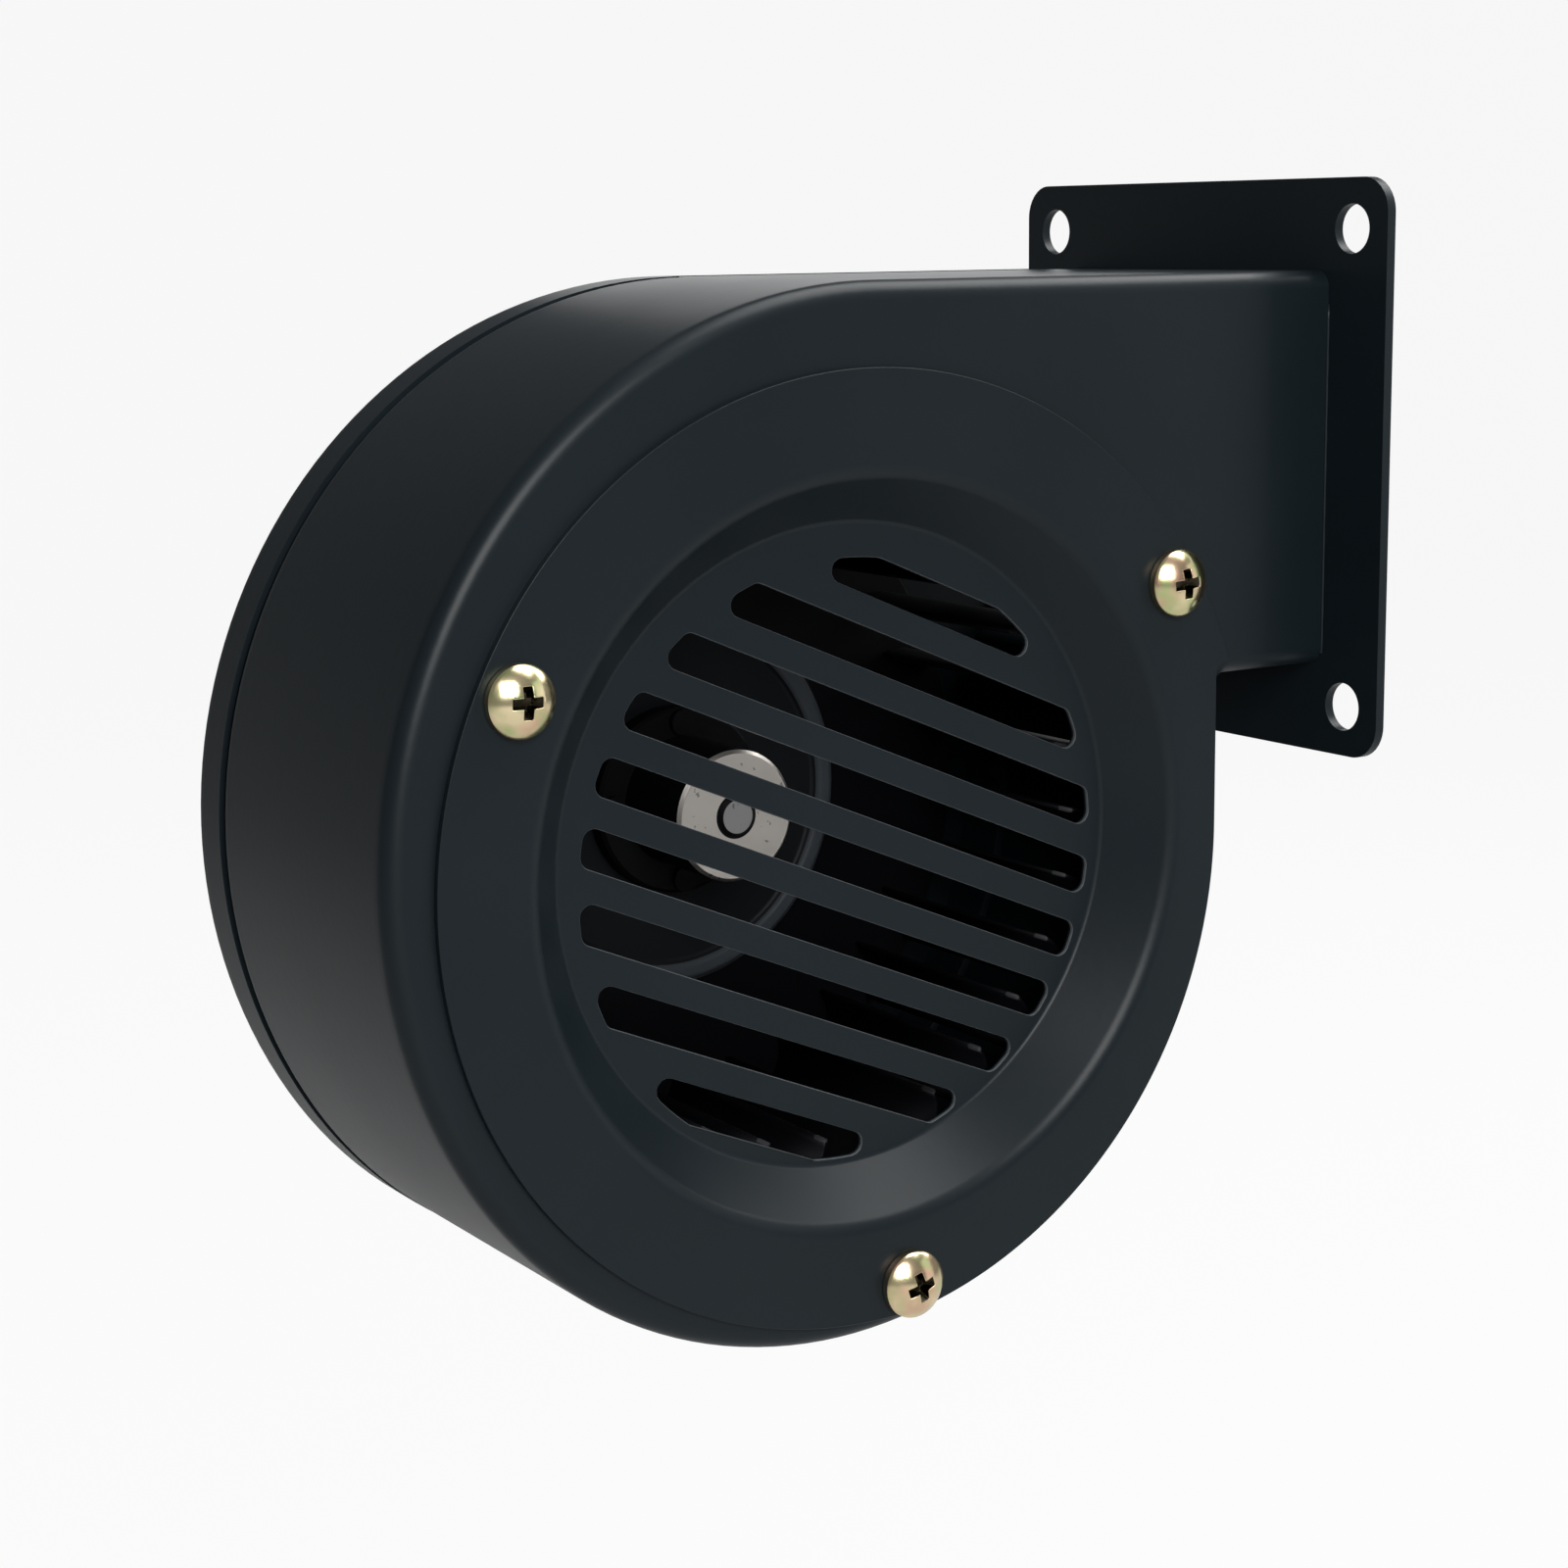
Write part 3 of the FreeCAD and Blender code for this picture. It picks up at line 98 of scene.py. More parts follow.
# The stage's floor, in metres
FLOOR_REACH = 3.0          # in front of the object and behind it
FLOOR_SIDE = 6.0           # to either side
FLOOR_BEND = 1.2           # radius where the floor turns up
WALL_HEIGHT = 4.0
FADE_HEIGHT = 1.2          # height at which mirror rays see least of the floor
FADE_SHARE = 0.25          # what they see there, of what they see at the bottom

# Places read from the frame, in metres
AXIS = Vector(next(joint for joint in frame["joints"] if joint["name"] == "rotor_spin")["pos_m"])
CASING_LOW, CASING_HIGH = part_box("scroll_casing")
LID_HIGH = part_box("back_lid")[1]
FLANGE_LOW, FLANGE_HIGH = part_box("outlet_flange")
COVER_LOW, COVER_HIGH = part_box("inlet_cover")
RING_LOW, RING_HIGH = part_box("impeller_front_ring")
DISC_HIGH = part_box("impeller_back_disc")[1]
STACK_LOW, STACK_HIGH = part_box("stator_core")
HUB_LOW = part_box("impeller_hub")[0]
SHAFT_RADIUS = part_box("shaft")[1].x - AXIS.x
IMPELLER_RADIUS = DISC_HIGH.x - AXIS.x
MOTOR_RADIUS = STACK_HIGH.x - AXIS.x


# Properties

def length(name, millimetres, description):
    """A length property, written in millimetres and held in metres."""
    return bpy.props.FloatProperty(
        name=name, description=description, default=millimetres * MM, precision=5, unit="LENGTH", subtype="DISTANCE")


def turn(name, degrees, description):
    """An angle property, written in degrees."""
    return bpy.props.FloatProperty(
        name=name, description=description, default=math.radians(degrees), unit="ROTATION", subtype="ANGLE")


def number(name, value, description):
    """A whole-number property."""
    return bpy.props.IntProperty(name=name, description=description, default=value, min=1)


def factor(name, value, description, highest=1.0):
    """A plain factor property."""
    return bpy.props.FloatProperty(
        name=name, description=description, default=value, min=0.0, max=highest, subtype="FACTOR")


def colour(name, value, description):
    """A linear colour property."""
    return bpy.props.FloatVectorProperty(
        name=name, description=description, default=value, size=3, min=0.0, max=1.0, subtype="COLOR")


class CasingSizes(bpy.types.PropertyGroup):
    """Sizes of the scroll casing and its lid."""
    sheet: length("Sheet", 1.0, "Thickness of the casing's sheet")
    near_radius: length("First arc", 65.3, "Scroll outline from the tongue round the bottom")
    near_x: length("First arc across", -4.9, "Centre of the first arc from the rotor axis, across")
    near_z: length("First arc up", -2.1, "Centre of the first arc from the rotor axis, upwards")
    growth: length("Growth", 8.5, "How much larger the second arc is")
    growth_angle: turn("Growth direction", 32.0, "Direction in which the second arc's centre moves")
    duct_height: length("Duct height", 57.0, "Outside height of the outlet duct")
    tongue: length("Tongue bend", 2.0, "Bend between the scroll and the duct's floor")
    corner: length("Corner bend", 2.5, "Bend between the front panel and the walls")
    inlet_hole: length("Inlet hole", 55.5, "Radius of the hole behind the cover")
    collar_outer: length("Collar outside", 3.23, "Radius of the drawn collars for the cover's screws")
    collar_inner: length("Collar inside", 2.03, "Radius of the hole in those collars")
    collar_depth: length("Collar depth", 2.5, "How far the collars stand in from the panel")
    skirt_depth: length("Skirt depth", 7.3, "From the lid's back to the skirt's free edge")
    skirt_sheet: length("Skirt sheet", 0.8, "Thickness of the lid's skirt")
    skirt_proud: length("Skirt proud", 0.1, "How far the skirt stands out from the wall")
    groove: length("Groove", 1.5, "Open groove between the wall's step and the skirt")
    step: length("Wall step", 1.3, "How far the wall steps in under the skirt")
    lid_edge: length("Lid bend", 0.9, "Bend round the lid's back edge")
    step_bend: length("Wall step bend", 0.5, "Bends of the wall's step")
    lid_hole: length("Lid hole", 14.03, "Radius of the hole in the lid's middle")
    lid_screw_hole: length("Lid screw hole", 1.75, "Radius of the lid's screw holes")


class CoverSizes(bpy.types.PropertyGroup):
    """Sizes of the inlet cover."""
    radius: length("Radius", 65.0, "Radius of the disc")
    margin: length("Margin", 1.5, "Inset from the casing's outline where that trims the disc")
    dish_top: length("Dish edge", 51.2, "Radius at which the dish begins")
    dish_run: length("Dish run", 6.8, "Width of the dish's slope")
    top_bend: length("Upper bend", 3.0, "Bend into the dish")
    floor_bend: length("Lower bend", 1.0, "Bend round the dish's floor, on the front face")
    slots: number("Slots", 9, "Number of slots in the grille")
    slot_width: length("Slot width", 5.3, "Width of each slot")
    slot_pitch: length("Slot pitch", 9.38, "Distance between neighbouring slots")
    slot_reach: length("Slot reach", 41.57, "Radius of the circle that the slots' ends follow")
    slot_corner: length("Slot corner", 1.7, "Corner radius of the slots")
    slot_tilt: turn("Slot tilt", -22.9, "Angle of the slots from level")
    slot_drop: length("Slot drop", 2.1, "Distance of the pattern's centre below the rotor axis")
    slot_shift: length("Slot shift", 0.6, "Distance of the pattern's centre from the rotor axis, across")
    screw_circle: length("Screw circle", 60.3, "Radius of the circle through the screws")
    screw_count: number("Screws", 3, "Number of cover screws")
    screw_angle: turn("First screw", 34.0, "Angle of the first screw above level")
    screw_shift: length("Screw shift", 1.0, "Screws' circle from the rotor axis, across")
    screw_drop: length("Screw drop", 0.4, "Screws' circle below the rotor axis")
    screw_hole: length("Screw hole", 2.25, "Radius of the holes for the screws")


class FlangeSizes(bpy.types.PropertyGroup):
    """Sizes of the outlet flange."""
    corner: length("Corner", 5.0, "Corner radius of the plate")
    hole_pitch: length("Hole pitch", 68.6, "Distance between the bolt holes")
    hole_radius: length("Hole radius", 3.5, "Radius of the bolt holes")
    bead_radius: length("Seam bead", 0.34, "Radius of the bead between the duct's front and the flange")
    bead_low: length("Seam bead from", -27.0, "Lower end of that bead")
    bead_high: length("Seam bead to", 23.7, "Upper end of that bead")


class ImpellerSizes(bpy.types.PropertyGroup):
    """Sizes of the impeller."""
    blades: number("Blades", 28, "Number of blades")
    root: length("Blade root", 42.3, "Radius of the blades' inner edges")
    tip: length("Blade tip", 50.3, "Radius of the blades' outer edges")
    lean: turn("Blade lean", 7.0, "How far the tip runs ahead of the root")
    camber: length("Blade camber", 1.6, "Depth of the blades' curve")
    sheet: length("Blade sheet", 0.6, "Thickness of the blades")
    ring_width: length("Ring width", 4.0, "Width of the ring round the blades' front ends")
    bead_radius: length("Bead radius", 26.7, "Radius of the bead pressed into the back disc")
    bead_half: length("Bead half width", 1.8, "Half the width of that bead")
    bead_height: length("Bead height", 1.1, "Height of that bead")
    disc_sheet: length("Disc sheet", 1.0, "Thickness of the back disc")
    disc_bore: length("Disc bore", 3.2, "Radius of the back disc's hole")


class MotorSizes(bpy.types.PropertyGroup):
    """Sizes of the stator's sheets."""
    sheets: number("Stack sheets", 34, "Number of sheets shown in the stator's stack")
    sheet_gap: length("Sheet gap", 0.08, "Groove between neighbouring sheets")
    slots: number("Winding slots", 16, "Number of slots in the stator's sheets")
    slot_half: length("Slot half width", 2.5, "Half the width of a winding slot")
    slot_outer: length("Slot outside", 32.2, "Outer radius of the winding slots")
    slot_inner: length("Slot inside", 24.6, "Inner radius of the winding slots")
    bore: length("Bore", 22.3, "Radius of the stator's bore")
    mouth_half: length("Mouth half width", 1.1, "Half the width of a slot's mouth")
    screw_hole: length("Screw hole", 2.25, "Radius of the holes for the tie screws")


class ScrewSizes(bpy.types.PropertyGroup):
    """Sizes of the screws."""
    cover_head: length("Cover head", 4.7, "Head radius of the cover's screws")
    cover_height: length("Cover head height", 3.2, "Head height of the cover's screws")
    cover_shank: length("Cover shank", 2.0, "Shank radius of the cover's screws")
    cover_length: length("Cover length", 6.0, "Shank length of the cover's screws")
    lid_head: length("Lid head", 3.0, "Head radius of the lid's screws")
    lid_height: length("Lid head height", 1.8, "Head height of the lid's screws")
    lid_shank: length("Lid shank", 1.5, "Shank radius of the lid's screws")
    lid_length: length("Lid length", 5.0, "Shank length of the lid's screws")
    motor_head: length("Motor head", 3.9, "Head radius of the motor's screws")
    motor_height: length("Motor head height", 2.4, "Head height of the motor's screws")
    motor_shank: length("Motor shank", 2.0, "Shank radius of the motor's screws")


class FinishColours(bpy.types.PropertyGroup):
    """Colours of the finishes."""
    coat_dark: colour("Coat, dark", (0.0040, 0.0074, 0.0098), "Darker tone of the powder coat")
    coat_light: colour("Coat, light", (0.0066, 0.0114, 0.0145), "Lighter tone of the powder coat")
    yellow_zinc: colour("Yellow zinc", (0.80, 0.68, 0.42), "Main tone of the cover screws")
    yellow_tint: colour("Yellow zinc tint", (0.66, 0.40, 0.28), "Rosy tint in the cover screws' plating")
    green_tint: colour("Green tint", (0.44, 0.54, 0.24), "Greenish tint in the cover screws' plating")
    bright_zinc: colour("Bright zinc", (0.70, 0.71, 0.73), "Plain zinc plate")
    dark_steel: colour("Dark steel", (0.0012, 0.0014, 0.0022), "Blades, front ring and back disc")
    # Painted sheen on the back disc inside its bead, and a painted highlight on the bead where light catches the
    # pressed shoulder
    disc_middle_sheen: colour("Disc middle", (0.0060, 0.0075, 0.0092), "Back disc inside its bead")
    bead: colour("Bead", (0.045, 0.052, 0.060), "Bead of the back disc")
    # Painted highlight: a pale band on the slots' edges, where light from above catches them
    slot_edge_highlight: colour("Slot edge", (0.085, 0.092, 0.097), "Painted highlight on the edges of the cover's slots")
    # Painted highlight where light catches the blades' inner edges near their front ends
    blade_edge_highlight: colour("Blade edge highlight", (0.03, 0.03, 0.033), "Front ends of the blades' inner edges")
    turned: colour("Turned metal", (0.88, 0.83, 0.77), "Hub's end face")
    ground: colour("Ground steel", (0.50, 0.50, 0.50), "Shaft")
    stack: colour("Stack", (0.16, 0.17, 0.18), "Stator sheets")
    copper: colour("Copper", (0.62, 0.25, 0.10), "Windings")
    shield: colour("Shield paint", (0.012, 0.013, 0.014), "Motor shields")
    rubber: colour("Rubber", (0.016, 0.016, 0.016), "Grommet")


class StageSettings(bpy.types.PropertyGroup):
    """Camera, floor and light."""
    camera_x: length("Camera across", -223.4, "Camera from the cover's centre, across")
    camera_y: length("Camera in depth", -328.8, "Camera from the cover's centre, in depth")
    camera_z: length("Camera up", 82.2, "Camera above the cover's centre")
    camera_yaw: turn("Yaw", 32.424, "Camera's turn to the right of straight ahead")
    camera_pitch: turn("Pitch", 10.285, "Camera's tilt down")
    camera_roll: turn("Roll", -0.653, "Camera's roll")
    lens: bpy.props.FloatProperty(name="Lens", description="Focal length in millimetres", default=69.63)
    floor_drop: length("Floor drop", 170.0, "Floor below the object's lowest point")
    backdrop: factor("Backdrop", 0.94, "Paleness of the background")
    floor_tone: factor("Floor tone", 0.5, "Paleness of the floor's own paint under its even background")
    evenness: factor("Evenness", 0.92, "How far the floor hides its shading from the camera")
    mirrored: factor("Mirrored", 0.16, "How far mirror and see-through rays see the even background")
    world_light: factor("Room light", 0.12, "Light from all round", 4.0)
    key_power: factor("Overhead light", 14.0, "Power of the large overhead light", 100.0)
    side_power: factor("Side light", 1.4, "Power of the light on the right", 100.0)
    edge_power: factor("Edge light", 5.0, "Power of the light high on the right", 100.0)
    back_power: factor("Back light", 1.1, "Power of the light behind on the right", 100.0)
    front_power: factor("Front light", 19.0, "Power of the light beside the camera", 100.0)


# Mesh helpers

def assign(owner, **settings):
    """Sets attributes; returns their owner."""
    for name, value in settings.items():
        setattr(owner, name, value)
    return owner


def rounded(corners, steps=5, closed=True):
    """Outline through corners given as a, b and a bend radius, with the bends as arcs."""
    points = []
    last = len(corners) - 1
    for index, (a, b, radius) in enumerate(corners):
        here = Vector((a, b))
        if radius == 0 or (not closed and index in (0, last)):
            points.append(here)
            continue
        before = (Vector(corners[index - 1][:2]) - here).normalized()
        after = (Vector(corners[(index + 1) % len(corners)][:2]) - here).normalized()
        half = before.angle(after) / 2
        middle = here + (before + after).normalized() * radius / math.sin(half)
        start = here + before * radius / math.tan(half) - middle
        end = here + after * radius / math.tan(half) - middle
        for step in range(steps + 1):
            points.append(middle + start.lerp(end, step / steps).normalized() * radius)
    return points


def turns(steps):
    """Angles evenly round a circle."""
    return [2 * math.pi * step / steps for step in range(steps)]


def circle(radius, x=AXIS.x, z=AXIS.z, steps=STEPS_ROUND):
    """Points round a circle, as x and z."""
    return [Vector((x + radius * math.cos(a), z + radius * math.sin(a))) for a in turns(steps)]


def arc(middle, radius, start, end, steps):
    """Points along an arc, each with its direction from the middle."""
    points = []
    for step in range(steps + 1):
        angle = start + (end - start) * step / steps
        out = Vector((math.cos(angle), math.sin(angle)))
        points.append((middle + out * radius, out))
    return points


def add_row(bm, points, y):
    """Vertices at one depth."""
    return [bm.verts.new((point[0], y, point[1])) for point in points]


def join_rows(bm, first, second, closed=True):
    """Faces between two rows with as many vertices."""
    count = len(first)
    for index in range(count if closed else count - 1):
        after = (index + 1) % count
        bm.faces.new((first[index], second[index], second[after], first[after]))


def join_all(bm, rows, closed=True):
    """Faces between each row and the next."""
    for first, second in zip(rows, rows[1:]):
        join_rows(bm, first, second, closed)


def weld(bm):
    """Merges doubles and drops what collapsed."""
    bmesh.ops.remove_doubles(bm, verts=bm.verts, dist=WELD)
    bmesh.ops.dissolve_degenerate(bm, edges=bm.edges, dist=WELD)


def tidy(bm):
    """Merges doubles, drops what collapsed and turns every face outwards."""
    weld(bm)
    bmesh.ops.recalc_face_normals(bm, faces=bm.faces)


def join_flat(bm):
    """Joins the triangles of flat faces, so that they shade as one."""
    bmesh.ops.dissolve_limit(bm, angle_limit=FLAT_ANGLE, verts=bm.verts, edges=bm.edges)


def lathe(bm, profile, steps=STEPS_ROUND, x=AXIS.x, z=AXIS.z):
    """Closed solid of revolution along Y from a closed outline of radius and depth."""
    rows = [add_row(bm, circle(radius, x, z, steps), depth) for radius, depth in profile]
    join_all(bm, [*rows, rows[0]])


def fill(bm, loops, y, facing):
    """Flat face with holes from loops of points; facing is -1 for the front and 1 for the back."""
    bmesh.ops.remove_doubles(bm, verts=bm.verts, dist=WELD)
    rows = []
    for loop in loops:
        made = isinstance(loop[0], bmesh.types.BMVert)
        rows.append([vertex for vertex in loop if vertex.is_valid] if made else add_row(bm, loop, y))
    edges = []
    for row in rows:
        for index, vertex in enumerate(row):
            after = row[(index + 1) % len(row)]
            edges.append(bm.edges.get((vertex, after)) or bm.edges.new((vertex, after)))
    made = bmesh.ops.triangle_fill(bm, edges=edges, use_beauty=True, use_dissolve=False)
    for face in [item for item in made["geom"] if isinstance(item, bmesh.types.BMFace)]:
        face.normal_update()
        if face.normal.y * facing < 0:
            face.normal_flip()
    return rows


def prism(bm, loops, front, back):
    """Closed plate between two depths; the first loop is the outline and the others are holes."""
    front_rows = fill(bm, loops, front, -1)
    back_rows = fill(bm, loops, back, 1)
    for near, far in zip(front_rows, back_rows):
        join_rows(bm, near, far)


def new_object(name, mesh):
    """Object in the scene, at the origin."""
    piece = bpy.data.objects.new(name, mesh)
    bpy.context.scene.collection.objects.link(piece)
    return piece


def to_mesh(name, bm, smooth=True):
    """Mesh from a bmesh, which is freed."""
    mesh = bpy.data.meshes.new(name)
    bm.to_mesh(mesh)
    bm.free()
    if smooth:
        mesh.polygons.foreach_set("use_smooth", [True] * len(mesh.polygons))
    return mesh


def bake(piece):
    """Turns an object's evaluated shape into its own plain mesh."""
    bpy.context.view_layer.update()
    graph = bpy.context.evaluated_depsgraph_get()
    mesh = bpy.data.meshes.new_from_object(piece.evaluated_get(graph), depsgraph=graph)
    mesh.name = piece.name
    piece.modifiers.clear()
    piece.data = mesh


def finish_mesh(name, bm, solid=0.0, bevel=0.0, segments=2):
    """Object from a bmesh, with an optional wall thickness and softened edges."""
    piece = new_object(name, to_mesh(name, bm))
    if solid:
        assign(piece.modifiers.new("Wall", "SOLIDIFY"), thickness=solid, offset=-1, use_even_offset=True)
    if bevel:
        assign(piece.modifiers.new("Edges", "BEVEL"), width=bevel, segments=segments, limit_method="ANGLE",
               angle_limit=EDGE_ANGLE, use_clamp_overlap=True, harden_normals=True)
    else:
        piece.modifiers.new("Normals", "WEIGHTED_NORMAL").keep_sharp = True
    bake(piece)
    return piece


def join_extra(piece, bm):
    """Adds the faces of a bmesh to a finished piece."""
    tidy(bm)
    extra = to_mesh(piece.name + "_extra", bm, smooth=False)
    both = bmesh.new()
    both.from_mesh(piece.data)
    both.from_mesh(extra)
    both.to_mesh(piece.data)
    both.free()
    bpy.data.meshes.remove(extra)


def place(piece, body, slot, material, *nodes):
    """Puts a finished piece on its body, in place of the frame's nodes."""
    piece.data.materials.clear()
    piece.data.materials.append(material)
    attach(piece, body)
    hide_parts(*nodes)


# Node helpers

FLOAT = "NodeSocketFloat"
VECTOR = "NodeSocketVector"
GEOMETRY = "NodeSocketGeometry"
INTEGER = "NodeSocketInt"


def set_inputs(tree, sockets, values):
    """Links or sets inputs, given by name, number or identifier."""
    for key, value in values.items():
        if isinstance(value, bpy.types.NodeSocket):
            tree.links.new(value, sockets[key])
        else:
            sockets[key].default_value = value


def make(tree, kind, inputs=None, **settings):
    """Adds a node, with its settings and its inputs as values or links."""
    new = assign(tree.nodes.new(kind), **settings)
    set_inputs(tree, new.inputs, inputs or {})
    return new


def math_node(tree, operation, first, second=None):
    """Result of a Math node."""
    inputs = {0: first} if second is None else {0: first, 1: second}
    return make(tree, "ShaderNodeMath", inputs, operation=operation).outputs[0]


def vector_node(tree, operation, first, second=None, output=0):
    """Result of a Vector Math node."""
    inputs = {0: first} if second is None else {0: first, 1: second}
    return make(tree, "ShaderNodeVectorMath", inputs, operation=operation).outputs[output]


def combine(tree, **parts):
    """Vector from its parts, named X, Y and Z."""
    return make(tree, "ShaderNodeCombineXYZ", parts).outputs["Vector"]


def noise(tree, vector, scale, detail=2.0):
    """Value of a noise texture."""
    return make(tree, "ShaderNodeTexNoise", {"Vector": vector, "Scale": scale, "Detail": detail}).outputs["Fac"]


def mix_colour(tree, amount, first, second):
    """Colour between two others, each a socket or its three parts."""
    mix = make(tree, "ShaderNodeMix", data_type="RGBA")
    ends = [value if isinstance(value, bpy.types.NodeSocket) else (*value, 1.0) for value in (first, second)]
    set_inputs(tree, {socket.identifier: socket for socket in mix.inputs},
               {"Factor_Float": amount, "A_Color": ends[0], "B_Color": ends[1]})
    return next(socket for socket in mix.outputs if socket.identifier == "Result_Color")


def between(tree, value, low, high):
    """Value from 0 to 1 spread between two others."""
    return make(tree, "ShaderNodeMapRange", {"Value": value, "To Min": low, "To Max": high}).outputs[0]


def new_group(name, kind, inputs, outputs):
    """Node group with named sockets; returns the group and its input and output nodes."""
    group = bpy.data.node_groups.new(name, kind)
    for label, socket_type, default in inputs:
        socket = group.interface.new_socket(name=label, in_out="INPUT", socket_type=socket_type)
        if default is not None:
            socket.default_value = default
    for label, socket_type in outputs:
        group.interface.new_socket(name=label, in_out="OUTPUT", socket_type=socket_type)
    return group, group.nodes.new("NodeGroupInput"), group.nodes.new("NodeGroupOutput")


def from_axis(tree, vector):
    """Vector from the rotor axis, the same laid flat across it, and the distance."""
    centred = vector_node(tree, "SUBTRACT", vector, tuple(AXIS))
    flat = vector_node(tree, "MULTIPLY", centred, (1.0, 0.0, 1.0))
    return centred, flat, vector_node(tree, "LENGTH", flat, output=1)


def depth_of(tree, vector):
    """Depth part of a vector."""
    return make(tree, "ShaderNodeSeparateXYZ", {0: vector}).outputs["Y"]


def inside(tree, value, low, high):
    """1 between two values, else 0."""
    return math_node(tree, "MULTIPLY", math_node(tree, "GREATER_THAN", value, low),
                     math_node(tree, "LESS_THAN", value, high))


def zone_mask(tree, vector, low, high, near, far):
    """1 between two radii round the rotor axis and between two depths, else 0."""
    radius = from_axis(tree, vector)[2]
    return math_node(tree, "MULTIPLY", inside(tree, radius, low, high), inside(tree, depth_of(tree, vector), near, far))


# Shader groups

def texture_group(name, *inputs):
    """Empty shader group that turns a vector into a height and a tone."""
    return new_group(name, "ShaderNodeTree", [("Vector", VECTOR, None), *inputs], [("Height", FLOAT), ("Tone", FLOAT)])


def coat_group():
    """Fine waviness and grain of a powder coat, sized in millimetres."""
    group, given, result = texture_group(
        "Powder coat surface", ("Wave Size", FLOAT, 1.4), ("Grain Size", FLOAT, 0.25))
    vector = given.outputs["Vector"]
    wave = noise(group, vector, math_node(group, "DIVIDE", 1 / MM, given.outputs["Wave Size"]), 1.0)
    grain = noise(group, vector, math_node(group, "DIVIDE", 1 / MM, given.outputs["Grain Size"]))
    set_inputs(group, result.inputs, {
        "Height": math_node(group, "ADD", wave, math_node(group, "MULTIPLY", grain, 0.3)),
        "Tone": noise(group, vector, 28.0, 3.0)})
    return group


def turning_group():
    """Circular tool marks round the rotor axis."""
    group, given, result = texture_group("Turning marks", ("Pitch", FLOAT, 0.25))
    centred, flat, radius = from_axis(group, given.outputs["Vector"])
    shift = math_node(group, "MULTIPLY", noise(group, centred, 300.0, 1.0), 0.06 * MM)
    rings = math_node(group, "DIVIDE", math_node(group, "ADD", radius, shift), given.outputs["Pitch"])
    phase = math_node(group, "MULTIPLY", rings, 2 * math.pi / MM)
    set_inputs(group, result.inputs, {
        "Height": math_node(group, "SINE", phase), "Tone": noise(group, flat, 140.0, 3.0)})
    return group


def grain_group():
    """Fine grain, stretched into scratches along one direction."""
    group, given, result = texture_group(
        "Drawn grain", ("Stretch", VECTOR, (1.0, 0.08, 1.0)), ("Scale", FLOAT, 2500.0))
    vector = given.outputs["Vector"]
    stretched = vector_node(group, "MULTIPLY", vector, given.outputs["Stretch"])
    set_inputs(group, result.inputs, {
        "Height": noise(group, stretched, given.outputs["Scale"]), "Tone": noise(group, vector, 60.0)})
    return group


# Materials

def start_material(name):
    """Empty material with its tree, its Principled shader and Object coordinates."""
    material = bpy.data.materials.new(name)
    material.use_nodes = True
    tree = material.node_tree
    return material, tree, tree.nodes["Principled BSDF"], make(tree, "ShaderNodeTexCoord").outputs["Object"]


def end_material(tree, shader, tone, rough, metallic, specular, height, bump):
    """Feeds the shader; the bump's depth is in millimetres."""
    relief = make(tree, "ShaderNodeBump", {"Height": height, "Distance": bump * MM, "Strength": 1.0})
    set_inputs(tree, shader.inputs, {
        "Base Color": tone, "Roughness": rough, "Metallic": metallic, "Specular IOR Level": specular,
        "Normal": relief.outputs["Normal"]})


def scaled(tone, amount):
    """Colour made darker or lighter."""
    return tuple(min(1.0, part * amount) for part in tone)


def surface(name, group, dark, light, rough, metallic=0.0, bump=0.012, specular=0.5, zones=(), given=None):
    """Material whose colour and roughness follow a group's tone and whose bump follows its height.

    Each zone has two radii round the rotor axis, two depths and its own colour."""
    material, tree, shader, vector = start_material(name)
    texture = make(tree, "ShaderNodeGroup", {"Vector": vector, **(given or {})}, node_tree=group)
    shade = texture.outputs["Tone"]
    tone = mix_colour(tree, shade, dark, light)
    for *limits, pale in zones:
        tone = mix_colour(tree, zone_mask(tree, vector, *limits), tone, pale)
    end_material(tree, shader, tone, between(tree, shade, *rough), metallic, specular, texture.outputs["Height"], bump)
    return material


def plated_screw(name, base, first_tint, second_tint):
    """Plated metal with soft coloured bands, as on passivated zinc, and painted shade in the cross recess."""
    material, tree, shader, vector = start_material(name)
    patches = noise(tree, vector, 260.0)
    rosy = mix_colour(tree, between(tree, patches, -0.9, 1.5), base, first_tint)
    green = mix_colour(tree, between(tree, noise(tree, vector, 410.0, 1.0), -1.2, 1.5), rosy, second_tint)
    recess = make(tree, "ShaderNodeAttribute", attribute_name=RECESS_SHADE).outputs["Fac"]
    # Painted shade: the recess is darkened to a small share of the plating's tone
    tone = mix_colour(tree, recess, green, scaled(base, 0.06))
    end_material(tree, shader, tone, between(tree, patches, 0.12, 0.3), 1.0, 0.5, noise(tree, vector, 2400.0), 0.004)
    return material


def turned_face(name, group, tone, dark, pitch, low, high):
    """Turned metal that is bright on the hub's end face between two radii and painted dark elsewhere as shade."""
    material, tree, shader, vector = start_material(name)
    marks = make(tree, "ShaderNodeGroup", {"Vector": vector, "Pitch": pitch}, node_tree=group)
    face = zone_mask(tree, vector, low, high, -FAR, HUB_LOW.y + HUB_FACE_DEPTH)
    nick = math_node(tree, "GREATER_THAN", noise(tree, vector, 900.0, 3.0), 0.66)
    clean = mix_colour(tree, marks.outputs["Tone"], scaled(tone, 0.9), tone)
    marked = mix_colour(tree, nick, clean, scaled(tone, 0.45))
    end_material(tree, shader, mix_colour(tree, face, dark, marked), between(tree, face, 0.55, 0.38), face, 0.15,
                 marks.outputs["Height"], 0.0025)
    return material


